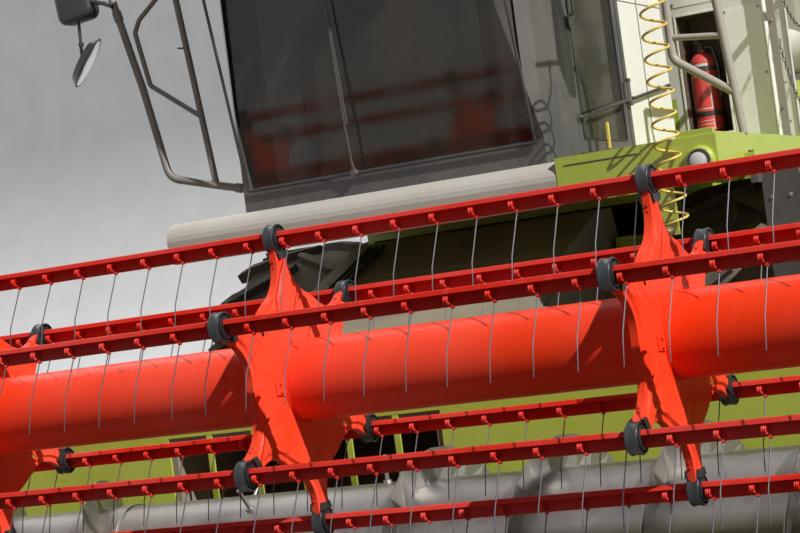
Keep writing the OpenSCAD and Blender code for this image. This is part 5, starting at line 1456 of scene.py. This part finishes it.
def make_feeder():
    """Pressed ribs, side strips, a chain cover and three hoses, all along the feeder's slope."""
    a, b = np.array([-2700, 950.0]), np.array([-800, 1770.0])
    along = (b - a) / np.linalg.norm(b - a)
    up = np.array([-along[1], along[0]])
    ribs = []
    for t in (0.16, 0.36, 0.56, 0.76):
        c = a + (b - a) * t
        ribs.append(prism([c - along * 26, c + along * 26, c + along * 18 + up * 14,
                           c - along * 18 + up * 14], -640, 640))
    sides = []
    for lift in (-150, -420):
        p, q = a + up * lift + along * 260, b + up * lift - along * 160
        sides.append(prism([p, q, q + up * 34, p + up * 34], 710, 719))
    cover = [prism([a + up * -90 + along * 700, b - along * 420 + up * -90, b - along * 330 + up * -170,
                    b - along * 420 + up * -260, a + along * 700 + up * -260, a + along * 600 + up * -170],
                   710, 726)]
    # The feeder's ribs take the same dark finish, whose darkness is painted shade.
    piece("feeder_ribs", ribs + both(sides) + cover, shade_and_grime_paint, "header", edge=2)
    hoses = []
    p, q = a + up * 22, b + up * 22
    for x in (-560, -520, -480):
        hoses.append(bar_along(bent([[x, *(p + along * 90)], [x, *(p + along * 700 + up * 20)],
                                     [x, *(q - along * 700 + up * 14)], [x, *(q - along * 120)]], 80, 6),
                               26, 12))
    piece("feeder_hoses", hoses, black_plastic, "header", smooth=50)


def make_drum():
    """Collars on the intake auger, and its fingers in their guides."""
    y, z = AUGER
    collars = [collar(x - 30, x + 30, 198, 208, (0, y, z)) for x in (-3740, -700, 700, 3740)]
    fingers = []
    for i in range(-4, 5):
        t = math.radians(i * 80 + 40)
        d = np.array([0, -math.sin(t), math.cos(t)])
        p = np.array([i * 150, y, z])
        fingers.append(bar_along(np.stack([p + d * 186, p + d * 212]), [46, 34], 14))
        fingers.append(bar_along(np.stack([p + d * 190, p + d * 312, p + d * 317]), [18.5, 18, 9], 12))
    piece("drum_fittings", collars + fingers, worn_steel, "auger", edge=1.0, smooth=40)


make_header()
make_feeder()


def make_cylinders():
    """Gland rings and clamps on the cylinders' barrels, and two hose unions."""
    def along(foot, eye, x, marks, r):
        v = (np.array(eye, float) - foot) / np.linalg.norm(np.array(eye, float) - foot)
        out = []
        for s, extra, long in marks:
            p, q = np.array(foot) + v * s, np.array(foot) + v * (s + long)
            out.append(bar_along([[x, *p], [x, *q]], 2 * (r + extra), 28))
        return out
    lift = along((-100, 600), (-1750, 600), 420, ((940, 8, 58), (120, 5, 40)), 55)
    lift += bolts([[420, -200, 655], [420, -960, 655]], [0, 0, 1], 26, 22)
    piece("lift_glands", both(lift), dark_paint, "lift_barrels", edge=1.5, smooth=40)
    reel = along((-2900, 760), (-3350, 1160), 3866, ((350, 4, 28), (60, 3, 18)), 24)
    piece("reel_glands", both(reel), dark_paint, "reel_barrels", edge=1, smooth=40)


make_drum()
make_cylinders()

# Floor, backdrop and light. A sun has its name, the way towards it, its strength and its width in degrees

SUNS = (("key", (0.727, -0.285, 0.625), 4.3, 0.6), ("fill", (-0.62, 0.62, 0.48), 1.3, 50.0))


def seen_by_eye(w):
    """1 for camera rays and those that come by a mirror or through glass, 0 for the ones that only bring
    light."""
    path = w.add("ShaderNodeLightPath").outputs
    first = w.math("MAXIMUM", path["Is Camera Ray"], path["Is Glossy Ray"])
    return w.math("MAXIMUM", first, path["Is Transmission Ray"])


def stage_and_light():
    """A pale floor that rises far behind in a quarter circle, a high narrow sun from the driver's side and
    a wide weak one from behind on the other side. Floor and sky give a tenth of their brightness as light,
    or the shaded reds turn pale."""
    a = np.linspace(0, np.pi / 2, 13)
    line = np.concatenate([[[-90, 0]], np.stack([60 + 12 * np.sin(a), 12 - 12 * np.cos(a)], -1), [[72, 60]]])
    side = np.linspace(-110, 110, 3)[None, :]
    grid = np.stack(np.broadcast_arrays(side, line[:, :1], line[:, 1:]), -1)
    mesh = bpy.data.meshes.new("floor")
    mesh.from_pydata(grid.reshape(-1, 3).tolist(), [],
                     grid_faces(len(line), 3, False, False)[:, ::-1].tolist())
    mesh.polygons.foreach_set("use_smooth", np.ones(len(mesh.polygons), bool))
    floor = bpy.data.objects.new("floor", mesh)
    bpy.context.scene.collection.objects.link(floor)
    material, w, put = begin("floor_finish")
    place = w.add("ShaderNodeTexCoord").outputs["Object"]
    tone = w.math("MULTIPLY", w.ramp(w.noise(place, 0.6, 3.0), 0.3, 0.7, 0.60, 0.64),
                  w.line(seen_by_eye(w), 0.90, 0.10))
    w.feed(put["Base Color"], w.add("ShaderNodeCombineColor",
                                    {0: tone, 1: tone, 2: w.math("MULTIPLY", tone, 0.985)}))
    put["Roughness"].default_value = 0.85
    mesh.materials.append(material)
    floor.visible_shadow = False
    world = bpy.data.worlds.new("studio")
    bpy.context.scene.world = world
    world.use_nodes = True
    v = Wiring(world.node_tree)
    v.tree.nodes.clear()
    sky = v.add("ShaderNodeBackground", {0: (0.88, 0.92, 0.97, 1), 1: v.line(seen_by_eye(v), 0.85, 0.10)})
    v.feed(v.add("ShaderNodeOutputWorld").inputs["Surface"], sky)
    for name, toward, strength, width in SUNS:
        data = bpy.data.lights.new(name, "SUN")
        data.energy, data.angle = strength, math.radians(width)
        lamp = bpy.data.objects.new(name, data)
        lamp.rotation_mode = "QUATERNION"
        lamp.rotation_quaternion = Vector(toward).to_track_quat("Z", "Y")
        bpy.context.scene.collection.objects.link(lamp)


stage_and_light()
bpy.context.scene.view_settings.view_transform = "Standard"
